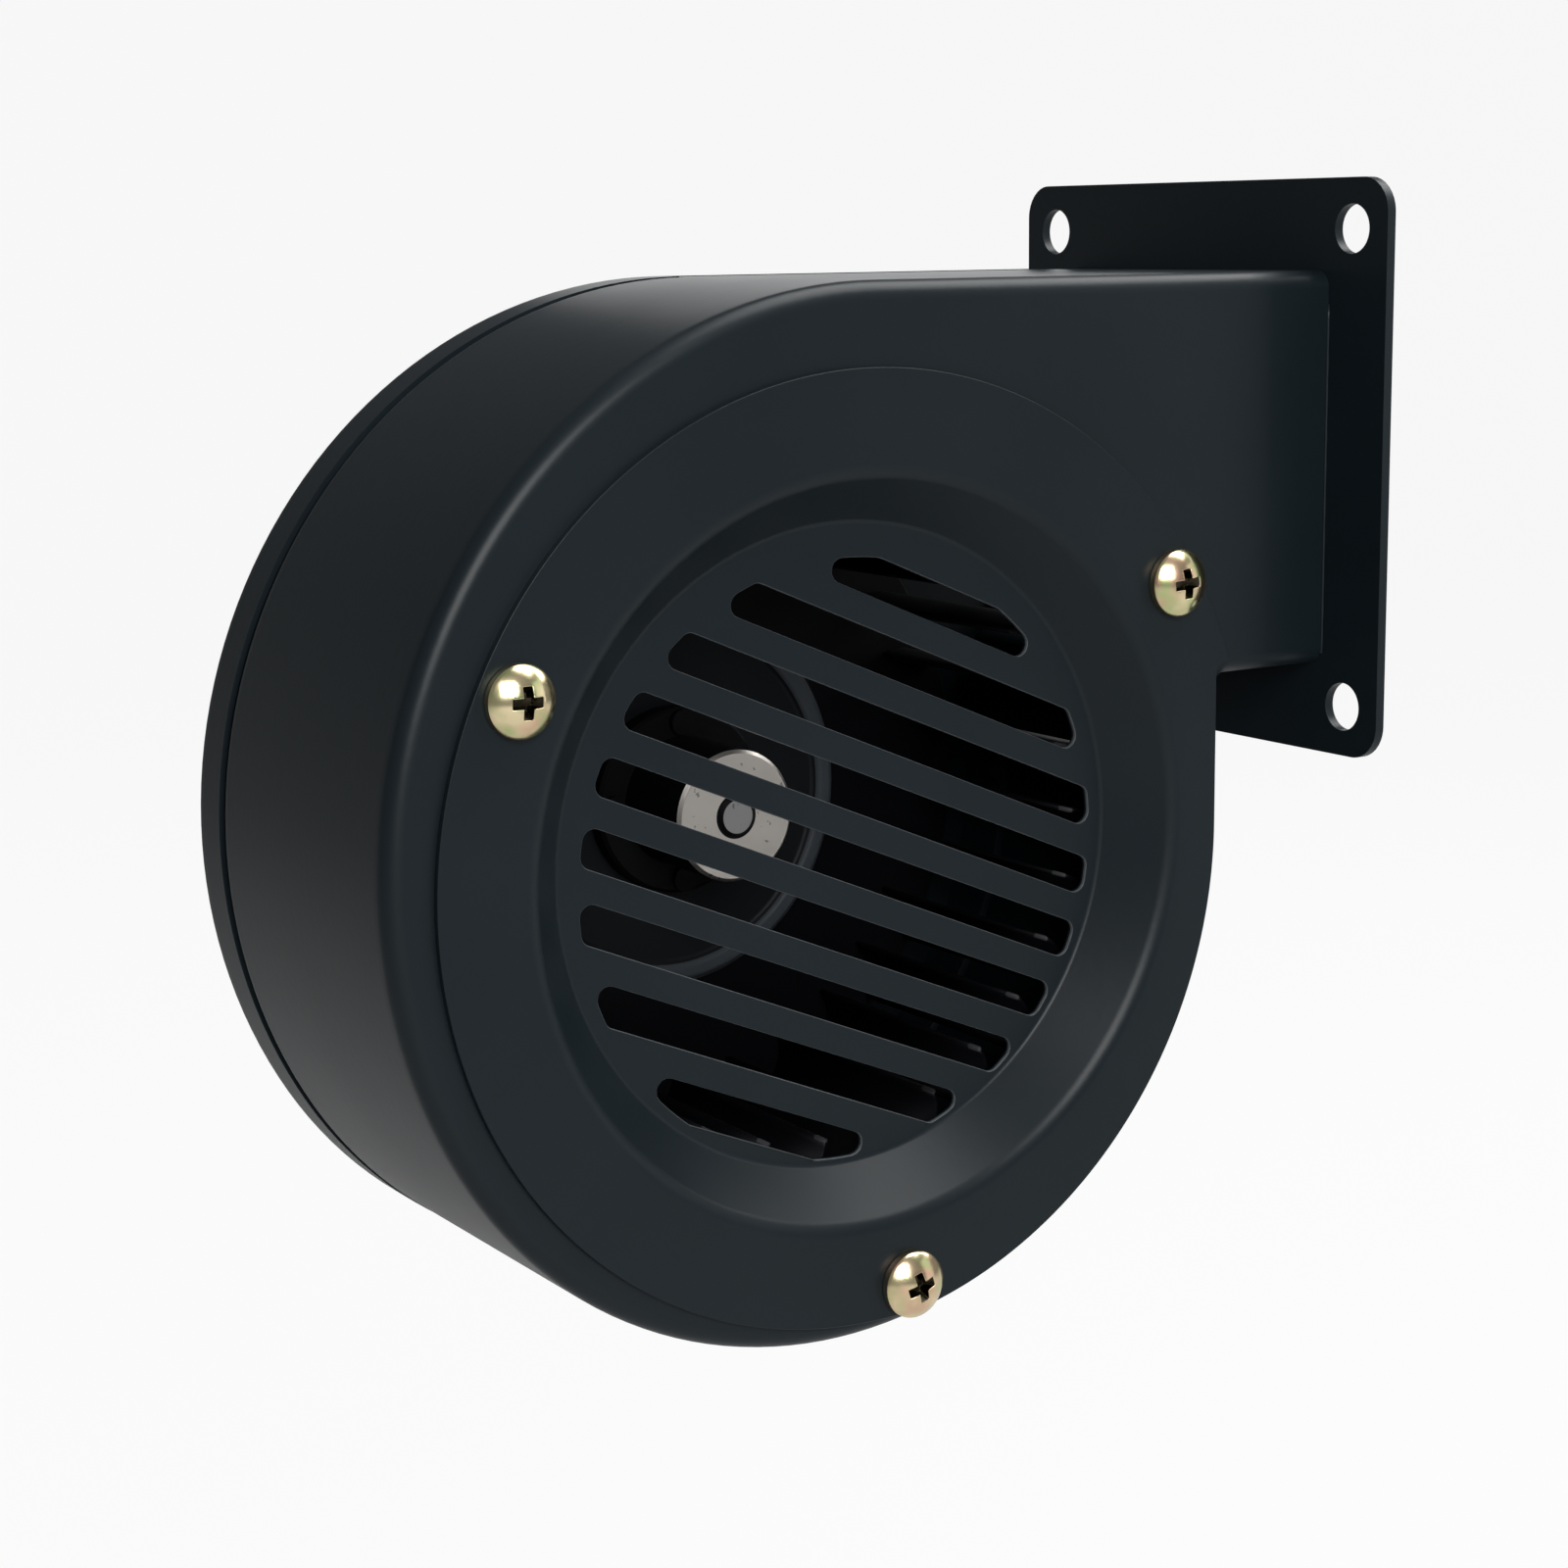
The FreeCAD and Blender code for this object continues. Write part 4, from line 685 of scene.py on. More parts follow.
def wound_copper(name, tone):
    """Lacquered copper wire, laid round the axis."""
    material, tree, shader, vector = start_material(name)
    centred, _flat, radius = from_axis(tree, vector)
    wire = 2 * math.pi / (0.5 * MM)
    waves = [math_node(tree, "SINE", math_node(tree, "MULTIPLY", value, wire))
             for value in (radius, depth_of(tree, centred))]
    patches = noise(tree, vector, 180.0)
    end_material(tree, shader, mix_colour(tree, patches, scaled(tone, 0.7), scaled(tone, 1.2)),
                 between(tree, patches, 0.25, 0.4), 1.0, 0.5, math_node(tree, "ADD", *waves), 0.05)
    return material


def make_materials():
    """Every finish by its name, made once."""
    tones = bpy.context.scene.air_mover_finish
    sizes = bpy.context.scene.air_mover_impeller
    coat, turning, grain = coat_group(), turning_group(), grain_group()
    black = (tones.coat_dark, tones.coat_light)
    steel = (tones.dark_steel, scaled(tones.dark_steel, 1.6))
    zinc = tones.bright_zinc
    bead_low = sizes.bead_radius - sizes.bead_half * 0.75
    bead_high = sizes.bead_radius + sizes.bead_half
    grille = COVER_HIGH.y - bpy.context.scene.air_mover_casing.sheet
    # Pale band painted as a highlight on the slots' edges, just behind the grille's face
    slot_edge_highlights = (0.0, SLOTS_WITHIN, grille + SLOT_HIGHLIGHT_FROM, grille + SLOT_HIGHLIGHT_TO, tones.slot_edge_highlight)
    # Painted highlight on the front ends of the blades' inner edges
    blade_end_highlights = (0.0, sizes.root + EDGE_HIGHLIGHT_WIDTH, -FAR, RING_HIGH.y + EDGE_HIGHLIGHT_LENGTH, tones.blade_edge_highlight)
    # Painted sheen inside the bead and a painted highlight on the bead itself
    disc_middle_sheen = (0.0, bead_low, -FAR, FAR, tones.disc_middle_sheen)
    disc_bead_highlight = (bead_low, bead_high, -FAR, FAR, tones.bead)
    even = (1.0, 1.0, 1.0)
    made = (
        surface("powder_coat_black", coat, *black, (0.34, 0.42), specular=0.2),
        # Darker copy of the coat for parts inside the casing: painted shade
        surface("powder_coat_inside", coat, scaled(tones.coat_dark, 0.8), tones.coat_dark, (0.5, 0.6), specular=0.15),
        surface("powder_coat_cover", coat, *black, (0.34, 0.42), specular=0.2, zones=[slot_edge_highlights]),
        plated_screw("yellow_zinc_plate", tones.yellow_zinc, tones.yellow_tint, tones.green_tint),
        surface("bright_zinc_plate", grain, scaled(zinc, 0.85), zinc, (0.25, 0.35), 1.0, 0.003),
        surface("blackened_sheet", coat, *steel, (0.45, 0.55), specular=0.15),
        surface("blackened_blades", coat, *steel, (0.45, 0.55), specular=0.15, zones=[blade_end_highlights]),
        surface("blackened_disc", coat, *steel, (0.4, 0.5), specular=0.15, zones=[disc_middle_sheen, disc_bead_highlight]),
        surface("ground_steel", turning, scaled(tones.ground, 0.85), tones.ground, (0.22, 0.32), 1.0, 0.001,
                given={"Pitch": 0.12}),
        surface("varnished_sheets", grain, scaled(tones.stack, 0.7), tones.stack, (0.3, 0.45), 1.0, 0.01,
                given={"Stretch": even, "Scale": 700.0}),
        surface("cast_shield_paint", coat, tones.shield, scaled(tones.shield, 1.5), (0.42, 0.55), bump=0.03,
                given={"Wave Size": 0.7}),
        surface("cast_cage_metal", grain, scaled(zinc, 0.8), zinc, (0.4, 0.55), 1.0, 0.01,
                given={"Stretch": even, "Scale": 500.0}),
        surface("grommet_rubber", coat, tones.rubber, scaled(tones.rubber, 1.4), (0.6, 0.75), bump=0.01,
                given={"Wave Size": 0.4}),
        wound_copper("lacquered_copper", tones.copper),
        # Painted shade: hub and shaft are dark behind the end face and in the groove between the hub's bore and the
        # shaft's end
        turned_face("turned_hub_face", turning, tones.turned, tones.dark_steel, 0.25,
                    SHAFT_RADIUS + HUB_BORE_SHADE, IMPELLER_RADIUS),
        turned_face("ground_shaft_end", turning, tones.ground, tones.dark_steel, 0.12,
                    -FAR, SHAFT_RADIUS - SHAFT_EDGE_SHADE),
    )
    return {material.name: material for material in made}


def finish_of(name):
    """Material by its name; the first call makes them all."""
    return bpy.data.materials.get(name) or make_materials()[name]


# Geometry node trees

def grow(name, mesh, tree, values):
    """Object made by a geometry node tree from values by name, as one plain mesh."""
    piece = new_object(name, mesh)
    modifier = assign(piece.modifiers.new("Build", "NODES"), node_group=tree)
    for item in tree.interface.items_tree:
        if item.item_type == "SOCKET" and item.in_out == "INPUT" and item.name in values:
            modifier[item.identifier] = values[item.name]
    bake(piece)
    return piece


def open_tree(name, *inputs):
    """Starts a tree that takes a geometry, its own inputs and a material."""
    return new_group(name, "GeometryNodeTree", [
        ("Geometry", GEOMETRY, None), *inputs, ("Material", "NodeSocketMaterial", None)], [("Geometry", GEOMETRY)])


def close_tree(tree, geometry, material, result):
    """Ends a tree: real geometry, with its material."""
    real = make(tree, "GeometryNodeRealizeInstances", {"Geometry": geometry})
    smooth = make(tree, "GeometryNodeSetShadeSmooth", {"Geometry": real.outputs["Geometry"]})
    last = make(tree, "GeometryNodeSetMaterial", {"Geometry": smooth.outputs["Geometry"], "Material": material})
    tree.links.new(last.outputs["Geometry"], result.inputs["Geometry"])


def screw_tree():
    """Screws at the vertices of a mesh, each turned by its own amount."""
    tree, given, result = open_tree(
        "Screws at places", ("Screw", "NodeSocketObject", None), ("Facing", FLOAT, 0.0), ("Turn Seed", INTEGER, 1))
    master = make(tree, "GeometryNodeObjectInfo", {"Object": given.outputs["Screw"]})
    points = make(tree, "GeometryNodeMeshToPoints", {"Mesh": given.outputs["Geometry"]})
    screws = make(tree, "GeometryNodeInstanceOnPoints", {
        "Points": points.outputs["Points"], "Instance": master.outputs["Geometry"],
        "Rotation": combine(tree, X=given.outputs["Facing"])})
    chance = make(tree, "FunctionNodeRandomValue", {"Seed": given.outputs["Turn Seed"]}, data_type="FLOAT")
    top = next(socket for socket in chance.inputs if socket.name == "Max" and socket.enabled)
    top.default_value = 2 * math.pi
    amount = next(socket for socket in chance.outputs if socket.enabled)
    turned = make(tree, "GeometryNodeRotateInstances", {
        "Instances": screws.outputs["Instances"], "Rotation": combine(tree, Z=amount)})
    close_tree(tree, turned.outputs["Instances"], given.outputs["Material"], result)
    return tree


def blade_tree():
    """Curved sheet blades round an axis."""
    tree, given, result = open_tree(
        "Blades round an axis", ("Count", INTEGER, 28), ("Root Radius", FLOAT, 0.04), ("Tip Radius", FLOAT, 0.05),
        ("Lean", FLOAT, 0.1), ("Camber", FLOAT, 0.001), ("Sheet", FLOAT, 0.0006), ("Front", FLOAT, 0.0),
        ("Length", FLOAT, 0.04), ("Axis Point", VECTOR, (0.0, 0.0, 0.0)))
    root = combine(tree, X=given.outputs["Root Radius"])
    tip_x = math_node(tree, "MULTIPLY", given.outputs["Tip Radius"], math_node(tree, "COSINE", given.outputs["Lean"]))
    tip_z = math_node(tree, "MULTIPLY", given.outputs["Tip Radius"], math_node(tree, "SINE", given.outputs["Lean"]))
    low_z = math_node(tree, "MULTIPLY", tip_z, -1.0)
    tip = combine(tree, X=tip_x, Z=low_z)
    chord = vector_node(tree, "SUBTRACT", tip, root)
    across = vector_node(tree, "NORMALIZE", vector_node(tree, "CROSS_PRODUCT", chord, (0.0, 1.0, 0.0)))
    middle, bow = (
        make(tree, "ShaderNodeVectorMath", {0: vector, "Scale": amount}, operation="SCALE").outputs[0]
        for vector, amount in ((vector_node(tree, "ADD", root, tip), 0.5), (across, given.outputs["Camber"])))
    bent = make(tree, "GeometryNodeCurveArc", {
        "Resolution": 10, "Start": root, "Middle": vector_node(tree, "ADD", middle, bow), "End": tip}, mode="POINTS")
    line = make(tree, "GeometryNodeCurveToMesh", {"Curve": bent.outputs["Curve"]})
    sheet = make(tree, "GeometryNodeExtrudeMesh", {
        "Mesh": line.outputs["Mesh"], "Offset": combine(tree, Y=1.0), "Offset Scale": given.outputs["Length"]},
        mode="EDGES")
    thick = make(tree, "GeometryNodeExtrudeMesh", {
        "Mesh": sheet.outputs["Mesh"], "Offset Scale": given.outputs["Sheet"], "Individual": False}, mode="FACES")
    under = make(tree, "GeometryNodeFlipFaces", {"Mesh": sheet.outputs["Mesh"]})
    both = make(tree, "GeometryNodeJoinGeometry")
    tree.links.new(thick.outputs["Mesh"], both.inputs[0])
    tree.links.new(under.outputs["Mesh"], both.inputs[0])
    closed = make(tree, "GeometryNodeMergeByDistance", {"Geometry": both.outputs["Geometry"], "Distance": WELD})
    blade = make(tree, "GeometryNodeTransform", {
        "Geometry": closed.outputs["Geometry"], "Translation": combine(tree, Y=given.outputs["Front"])})
    points = make(tree, "GeometryNodePoints", {
        "Count": given.outputs["Count"], "Position": given.outputs["Axis Point"]})
    index = make(tree, "GeometryNodeInputIndex").outputs["Index"]
    share = math_node(tree, "DIVIDE", index, given.outputs["Count"])
    spin = combine(tree, Y=math_node(tree, "MULTIPLY", share, 2 * math.pi))
    blades = make(tree, "GeometryNodeInstanceOnPoints", {
        "Points": points.outputs["Points"], "Instance": blade.outputs["Geometry"],
        "Rotation": spin})
    close_tree(tree, blades.outputs["Instances"], given.outputs["Material"], result)
    return tree


def stack_tree():
    """One sheet repeated along Y."""
    tree, given, result = open_tree("Stack of sheets", ("Count", INTEGER, 34), ("Pitch", FLOAT, 0.0005))
    line = make(tree, "GeometryNodeMeshLine", {
        "Count": given.outputs["Count"], "Offset": combine(tree, Y=given.outputs["Pitch"])})
    sheets = make(tree, "GeometryNodeInstanceOnPoints", {
        "Points": line.outputs["Mesh"], "Instance": given.outputs["Geometry"]})
    close_tree(tree, sheets.outputs["Instances"], given.outputs["Material"], result)
    return tree


# The casing's outline

def outline(sizes, inset=0.0):
    """Casing outline from the duct's top end round the scroll to its floor end.

    Each point has its place, the direction inwards and whether the lid's skirt covers it."""
    near = Vector((AXIS.x + sizes.near_x, AXIS.z + sizes.near_z))
    far = near + Vector((math.cos(sizes.growth_angle), math.sin(sizes.growth_angle))) * sizes.growth
    end_x = CASING_HIGH.x
    top = CASING_HIGH.z
    floor = top - sizes.duct_height
    side = near.x + sizes.near_radius
    bend = Vector((side + sizes.tongue, floor - sizes.tongue))
    meet = math.pi + sizes.growth_angle

    def line(start, end, steps, *inwards):
        return [(Vector(start).lerp(Vector(end), step / steps), Vector(inwards), False) for step in range(steps + 1)]

    points = line((end_x, top), (far.x, top), 8, 0.0, -1.0)
    for middle, radius, start, end, steps in (
            (far, sizes.near_radius + sizes.growth, math.pi / 2, meet, 56),
            (near, sizes.near_radius, meet, 2 * math.pi, 64)):
        points += [(spot, -out, True) for spot, out in arc(middle, radius, start, end, steps)]
    points += line((side, near.y), (side, bend.y), 4, -1.0, 0.0)
    points += [(spot, out, False) for spot, out in arc(bend, sizes.tongue, math.pi, math.pi / 2, 6)]
    points += line((bend.x, floor), (end_x, floor), 4, 0.0, 1.0)[1:]
    return [(spot + inwards * inset, inwards, skirted) for spot, inwards, skirted in points]


def outline_row(bm, points, skirted_inset, plain_inset, y):
    """Vertices along the outline at one depth, with one inset under the skirt and one elsewhere."""
    spots = [spot + inwards * (skirted_inset if skirted else plain_inset) for spot, inwards, skirted in points]
    return add_row(bm, spots, y)


def quarter(radius, steps):
    """Steps through a quarter bend, as what is left of the radius by sine and by cosine."""
    angles = [math.pi / 2 * step / steps for step in range(steps + 1)]
    return [(radius * (1 - math.sin(a)), radius * (1 - math.cos(a))) for a in angles]


def cover_screw_spots():
    """Middles of the cover's screws, as x and z."""
    sizes = bpy.context.scene.air_mover_cover
    middle = Vector((AXIS.x + sizes.screw_shift, AXIS.z - sizes.screw_drop))
    angles = [sizes.screw_angle + turned for turned in turns(sizes.screw_count)]
    return [middle + sizes.screw_circle * Vector((math.cos(a), math.sin(a))) for a in angles]


def node_centres(node):
    """Centre of each separate solid of a frame node, as x and z."""
    mesh = frame["nodes"][node].data
    bm = bmesh.new()
    bm.from_mesh(mesh)
    bmesh.ops.remove_doubles(bm, verts=bm.verts, dist=WELD)
    left = set(bm.verts)
    centres = []
    while left:
        group = [left.pop()]
        for vertex in group:
            for edge in vertex.link_edges:
                other = edge.other_vert(vertex)
                if other in left:
                    left.remove(other)
                    group.append(other)
        xs = [vertex.co.x for vertex in group]
        zs = [vertex.co.z for vertex in group]
        centres.append(((min(xs) + max(xs)) / 2, (min(zs) + max(zs)) / 2))
    bm.free()
    return sorted(centres)


# Operators

class AIRMOVER_OT_casing(bpy.types.Operator):
    """Build the drawn scroll casing"""
    bl_idname = "airmover.casing"
    bl_label = "Scroll Casing"

    def execute(self, context):
        sizes = context.scene.air_mover_casing
        bm = bmesh.new()
        points = outline(sizes)
        front, seat = CASING_LOW.y, CASING_HIGH.y
        corner, step, bend = sizes.corner, sizes.step, sizes.step_bend
        step_y = LID_HIGH.y - sizes.skirt_depth - sizes.groove
        soft = bend * 0.3
        guard = 1.0 * MM  # rows that keep the shading of flat parts apart from that of the bends
        rows = [outline_row(bm, points, corner + land, corner + land, front) for land in (1.5 * guard, 0.2 * guard)]
        rows += [outline_row(bm, points, inset, inset, front + rise) for inset, rise in quarter(corner, 8)]
        for inset, y in (
                (0.0, front + corner + guard), (0.0, step_y - 1.2 * guard), (0.0, step_y - bend),
                (soft, step_y - soft), (bend, step_y), (step - bend, step_y),
                (step - soft, step_y + soft), (step, step_y + bend), (step, seat)):
            rows.append(outline_row(bm, points, inset, 0.0, y))
        join_all(bm, rows, closed=False)
        fill(bm, [rows[0], circle(sizes.inlet_hole)], front, -1)
        weld(bm)
        shell = finish_mesh("casing_shell", bm, solid=sizes.sheet, bevel=SOFT_EDGE["casing"])
        collars = bmesh.new()
        near = front + sizes.sheet - 0.3 * MM
        far = front + sizes.sheet + sizes.collar_depth
        for x, z in cover_screw_spots():
            lathe(collars, [(sizes.collar_outer, near), (sizes.collar_outer, far),
                            (sizes.collar_inner, far), (sizes.collar_inner, near)], 32, x, z)
        join_extra(shell, collars)
        place(shell, HOUSING, "black_coat", finish_of("powder_coat_black"), "scroll_casing")
        return {"FINISHED"}


class AIRMOVER_OT_lid(bpy.types.Operator):
    """Build the lid with its skirt"""
    bl_idname = "airmover.lid"
    bl_label = "Back Lid"

    def execute(self, context):
        sizes = context.scene.air_mover_casing
        bm = bmesh.new()
        points = outline(sizes, -sizes.skirt_proud)
        back = LID_HIGH.y
        edge = sizes.lid_edge
        rows = [outline_row(bm, points, 0.0, 0.0, y)
                for y in (back - sizes.skirt_depth, back - edge - 1.0 * MM, back - edge)]
        for row in rows[:2]:
            for vertex, (_spot, _inwards, skirted) in zip(row, points):
                if not skirted:
                    vertex.co.y = CASING_HIGH.y
        rows += [outline_row(bm, points, inset, inset, back - drop) for drop, inset in quarter(edge, 6)[1:]]
        rows.append(outline_row(bm, points, edge + 0.4 * MM, edge + 0.4 * MM, back))
        join_all(bm, rows, closed=False)
        holes = [circle(sizes.lid_screw_hole, x, z, 24) for x, z in node_centres("lid_screws")]
        fill(bm, [rows[-1], circle(sizes.lid_hole), *holes], back, 1)
        weld(bm)
        pan = finish_mesh("lid_pan", bm, solid=sizes.skirt_sheet, bevel=SOFT_EDGE["lid"])
        place(pan, HOUSING, "black_coat", finish_of("powder_coat_black"), "back_lid")
        return {"FINISHED"}


def seam_bead(sizes, x, y):
    """Thin uneven bead in the corner between the duct's front and the flange."""
    bm = bmesh.new()
    rows = []
    steps = 24
    for step in range(steps + 1):
        z = sizes.bead_low + (sizes.bead_high - sizes.bead_low) * step / steps
        radius = sizes.bead_radius * (0.85 + 0.15 * math.sin(2.6 * step))
        rows.append([bm.verts.new((x + radius * math.cos(a), y + radius * math.sin(a), z)) for a in turns(12)])
    join_all(bm, rows)
    bm.faces.new(rows[0])
    bm.faces.new(rows[-1])
    for face in bm.faces:
        face.smooth = True
    return bm


class AIRMOVER_OT_flange(bpy.types.Operator):
    """Build the square outlet flange"""
    bl_idname = "airmover.flange"
    bl_label = "Outlet Flange"

    def execute(self, context):
        sizes = context.scene.air_mover_flange
        sheet = context.scene.air_mover_casing.sheet
        low, high = FLANGE_LOW, FLANGE_HIGH
        edge = rounded([(y, z, sizes.corner) for y, z in (
            (low.y, low.z), (high.y, low.z), (high.y, high.z), (low.y, high.z))], 10)
        left, right = CASING_LOW.y + sheet, CASING_HIGH.y
        top = CASING_HIGH.z - sheet
        drawn, folded = 0.8 * MM, 0.3 * MM  # corner radii at the casing's front and at the lid
        window = rounded([
            (left, -top, drawn), (right, -top, folded), (right, top, folded), (left, top, drawn)], 4)
        half = sizes.hole_pitch / 2
        holes = [circle(sizes.hole_radius, y, z, 48) for y in (-half, half) for z in (-half, half)]
        bm = bmesh.new()
        prism(bm, [edge, window, *holes], 0.0, high.x - low.x)
        turn_to_outlet = Matrix(((0, 1, 0, low.x), (1, 0, 0, 0), (0, 0, 1, 0), (0, 0, 0, 1)))
        bmesh.ops.transform(bm, matrix=turn_to_outlet, verts=bm.verts)
        tidy(bm)
        join_flat(bm)
        plate = finish_mesh("flange_plate", bm, bevel=SOFT_EDGE["flange"], segments=3)
        join_extra(plate, seam_bead(sizes, low.x, CASING_LOW.y))
        place(plate, HOUSING, "black_coat", finish_of("powder_coat_black"), "outlet_flange")
        return {"FINISHED"}


def slot_loop(sizes, offset):
    """Outline of one slot: a strip whose ends follow a circle, with rounded corners."""
    corner = sizes.slot_corner
    reach = sizes.slot_reach - corner
    low = offset - sizes.slot_width / 2 + corner
    high = offset + sizes.slot_width / 2 - corner
    right_low, right_high = (Vector((math.sqrt(reach ** 2 - edge ** 2), edge)) for edge in (low, high))
    low_turn, high_turn = (math.atan2(spot.y, spot.x) for spot in (right_low, right_high))
    points = [spot for spot, _out in (
        *arc(right_low, corner, -math.pi / 2, low_turn, 6),
        *arc(Vector((0.0, 0.0)), sizes.slot_reach, low_turn, high_turn, 8),
        *arc(right_high, corner, high_turn, math.pi / 2, 6))]
    points += [Vector((-point.x, point.y)) for point in reversed(points)]
    tilt = Matrix.Rotation(sizes.slot_tilt, 2)
    middle = Vector((AXIS.x + sizes.slot_shift, AXIS.z - sizes.slot_drop))
    spread = [middle + tilt @ point for point in points]
    kept = [spread[0]]
    for point in spread[1:]:
        if (point - kept[-1]).length > SAME_SPOT:
            kept.append(point)
    if (kept[0] - kept[-1]).length < SAME_SPOT:
        kept.pop()
    return kept


def cover_edge(sizes, casing):
    """Edge of the cover: a circle, trimmed to the casing's outline beside and below the duct."""
    near = Vector((casing.near_x, casing.near_z))
    near_radius = casing.near_radius - sizes.margin
    side = casing.near_x + near_radius
    floor = CASING_HIGH.z - casing.duct_height + sizes.margin - AXIS.z
    notch = math.atan2(floor, side)
    points = []
    for angle in sorted([*turns(240), notch - SAME_SPOT, notch]):
        out = Vector((math.cos(angle), math.sin(angle)))
        reach = sizes.radius
        signed = angle if angle < math.pi else angle - 2 * math.pi
        if signed < 0:
            along = out.dot(near)
            reach = min(reach, along + math.sqrt(along ** 2 - near.length ** 2 + near_radius ** 2))
        elif signed < notch:
            reach = min(reach, side / out.x)
        points.append(Vector((AXIS.x, AXIS.z)) + out * reach)
    return points


class AIRMOVER_OT_cover(bpy.types.Operator):
    """Build the dished and slotted inlet cover"""
    bl_idname = "airmover.cover"
    bl_label = "Inlet Cover"

    def execute(self, context):
        sizes = context.scene.air_mover_cover
        sheet = context.scene.air_mover_casing.sheet
        front = COVER_LOW.y
        grille = COVER_HIGH.y - sheet
        dish_floor = sizes.dish_top - sizes.dish_run
        profile = rounded([
            (sizes.dish_top + 4.0 * MM, front, 0), (sizes.dish_top, front, sizes.top_bend),
            (dish_floor, grille, sizes.floor_bend), (dish_floor - 0.5 * MM, grille, 0)], 8, closed=False)
        bm = bmesh.new()
        rows = [add_row(bm, circle(radius), y) for radius, y in profile]
        join_all(bm, rows)
        middle = (sizes.slots - 1) / 2
        slots = [slot_loop(sizes, (step - middle) * sizes.slot_pitch) for step in range(sizes.slots)]
        fill(bm, [rows[-1], *slots], grille, -1)
        holes = [circle(sizes.screw_hole, x, z, 32) for x, z in cover_screw_spots()]
        edge = cover_edge(sizes, context.scene.air_mover_casing)
        fill(bm, [edge, rows[0], *holes], front, -1)
        bmesh.ops.remove_doubles(bm, verts=bm.verts, dist=FINE_WELD)
        for face in bm.faces:
            face.normal_update()
            if face.normal.y > 0:
                face.normal_flip()
        cover = finish_mesh("cover_dish", bm, solid=sheet, bevel=SOFT_EDGE["cover"], segments=3)
        place(cover, HOUSING, "black_coat", finish_of("powder_coat_cover"), "inlet_cover")
        return {"FINISHED"}


def screw_master(name, head_radius, head_height, shank_radius, shank_length):
    """Domed screw with a cross recess, head up along Z, seated at the origin."""
    rim = 0.4 * head_height
    rise = head_height - rim
    sphere = (head_radius ** 2 + rise ** 2) / (2 * rise)
    profile = []
    for step in range(13):
        angle = math.asin(head_radius / sphere) * step / 12
        profile.append((sphere * math.sin(angle), head_height - sphere * (1 - math.cos(angle))))
    soft = 0.12 * MM
    profile += [(head_radius + soft * 0.3, rim - soft), (head_radius, soft), (head_radius - soft, 0.0)]
    profile += [(shank_radius, 0.0), (shank_radius, 0.6 * shank_radius - shank_length)]
    profile += [(0.4 * shank_radius, -shank_length), (0.0, -shank_length)]
    bm = bmesh.new()
    join_all(bm, [[bm.verts.new((radius * math.cos(a), radius * math.sin(a), height)) for a in turns(48)]
                  for radius, height in profile])
    tidy(bm)
    master = new_object(name, to_mesh(name, bm))
    cutters = [cross_wing(name + "_wing", head_radius, head_height, angle) for angle in (0.0, math.pi / 2)]
    for cutter in cutters:
        assign(master.modifiers.new("Recess", "BOOLEAN"), operation="DIFFERENCE", solver="EXACT", object=cutter)
    assign(master.modifiers.new("Edges", "BEVEL"), width=SOFT_EDGE["screw"], segments=2, limit_method="ANGLE",
           angle_limit=SCREW_EDGE_ANGLE)
    bake(master)
    for cutter in cutters:
        bpy.data.objects.remove(cutter)
    mark_recess_shade(master.data, head_radius, head_height, sphere)
    return master


def mark_recess_shade(mesh, head_radius, head_height, sphere):
    """Face attribute that is 1 in the cross recess, below the head's dome, and 0 elsewhere; it marks where shade is
    painted.
    """
    marks = mesh.attributes.new(RECESS_SHADE, "FLOAT", "FACE")
    for face in mesh.polygons:
        x, y, z = face.center
        off = math.hypot(x, y)
        if z > 0 and off < 0.8 * head_radius:
            dome = head_height - sphere + math.sqrt(sphere ** 2 - off ** 2)
            marks.data[face.index].value = 1.0 if z < dome - 0.12 * MM else 0.0


def cross_wing(name, head_radius, head_height, angle):
    """Tapered blade shape that cuts one arm pair of a cross recess."""
    bm = bmesh.new()
    rows = []
    for reach, half, z in ((0.45, 0.75, 0.4 * head_height), (1.2, 1.15, 1.35 * head_height)):
        across = 0.55 * head_radius * reach
        along = 0.15 * head_radius * half
        rows.append([bm.verts.new((x * across, y * along, z)) for x, y in ((-1, -1), (1, -1), (1, 1), (-1, 1))])
        bm.faces.new(rows[-1])
    join_rows(bm, *rows)
    bmesh.ops.rotate(bm, verts=bm.verts, cent=(0, 0, 0), matrix=Matrix.Rotation(angle, 3, "Z"))
    tidy(bm)
    return new_object(name, to_mesh(name, bm, smooth=False))


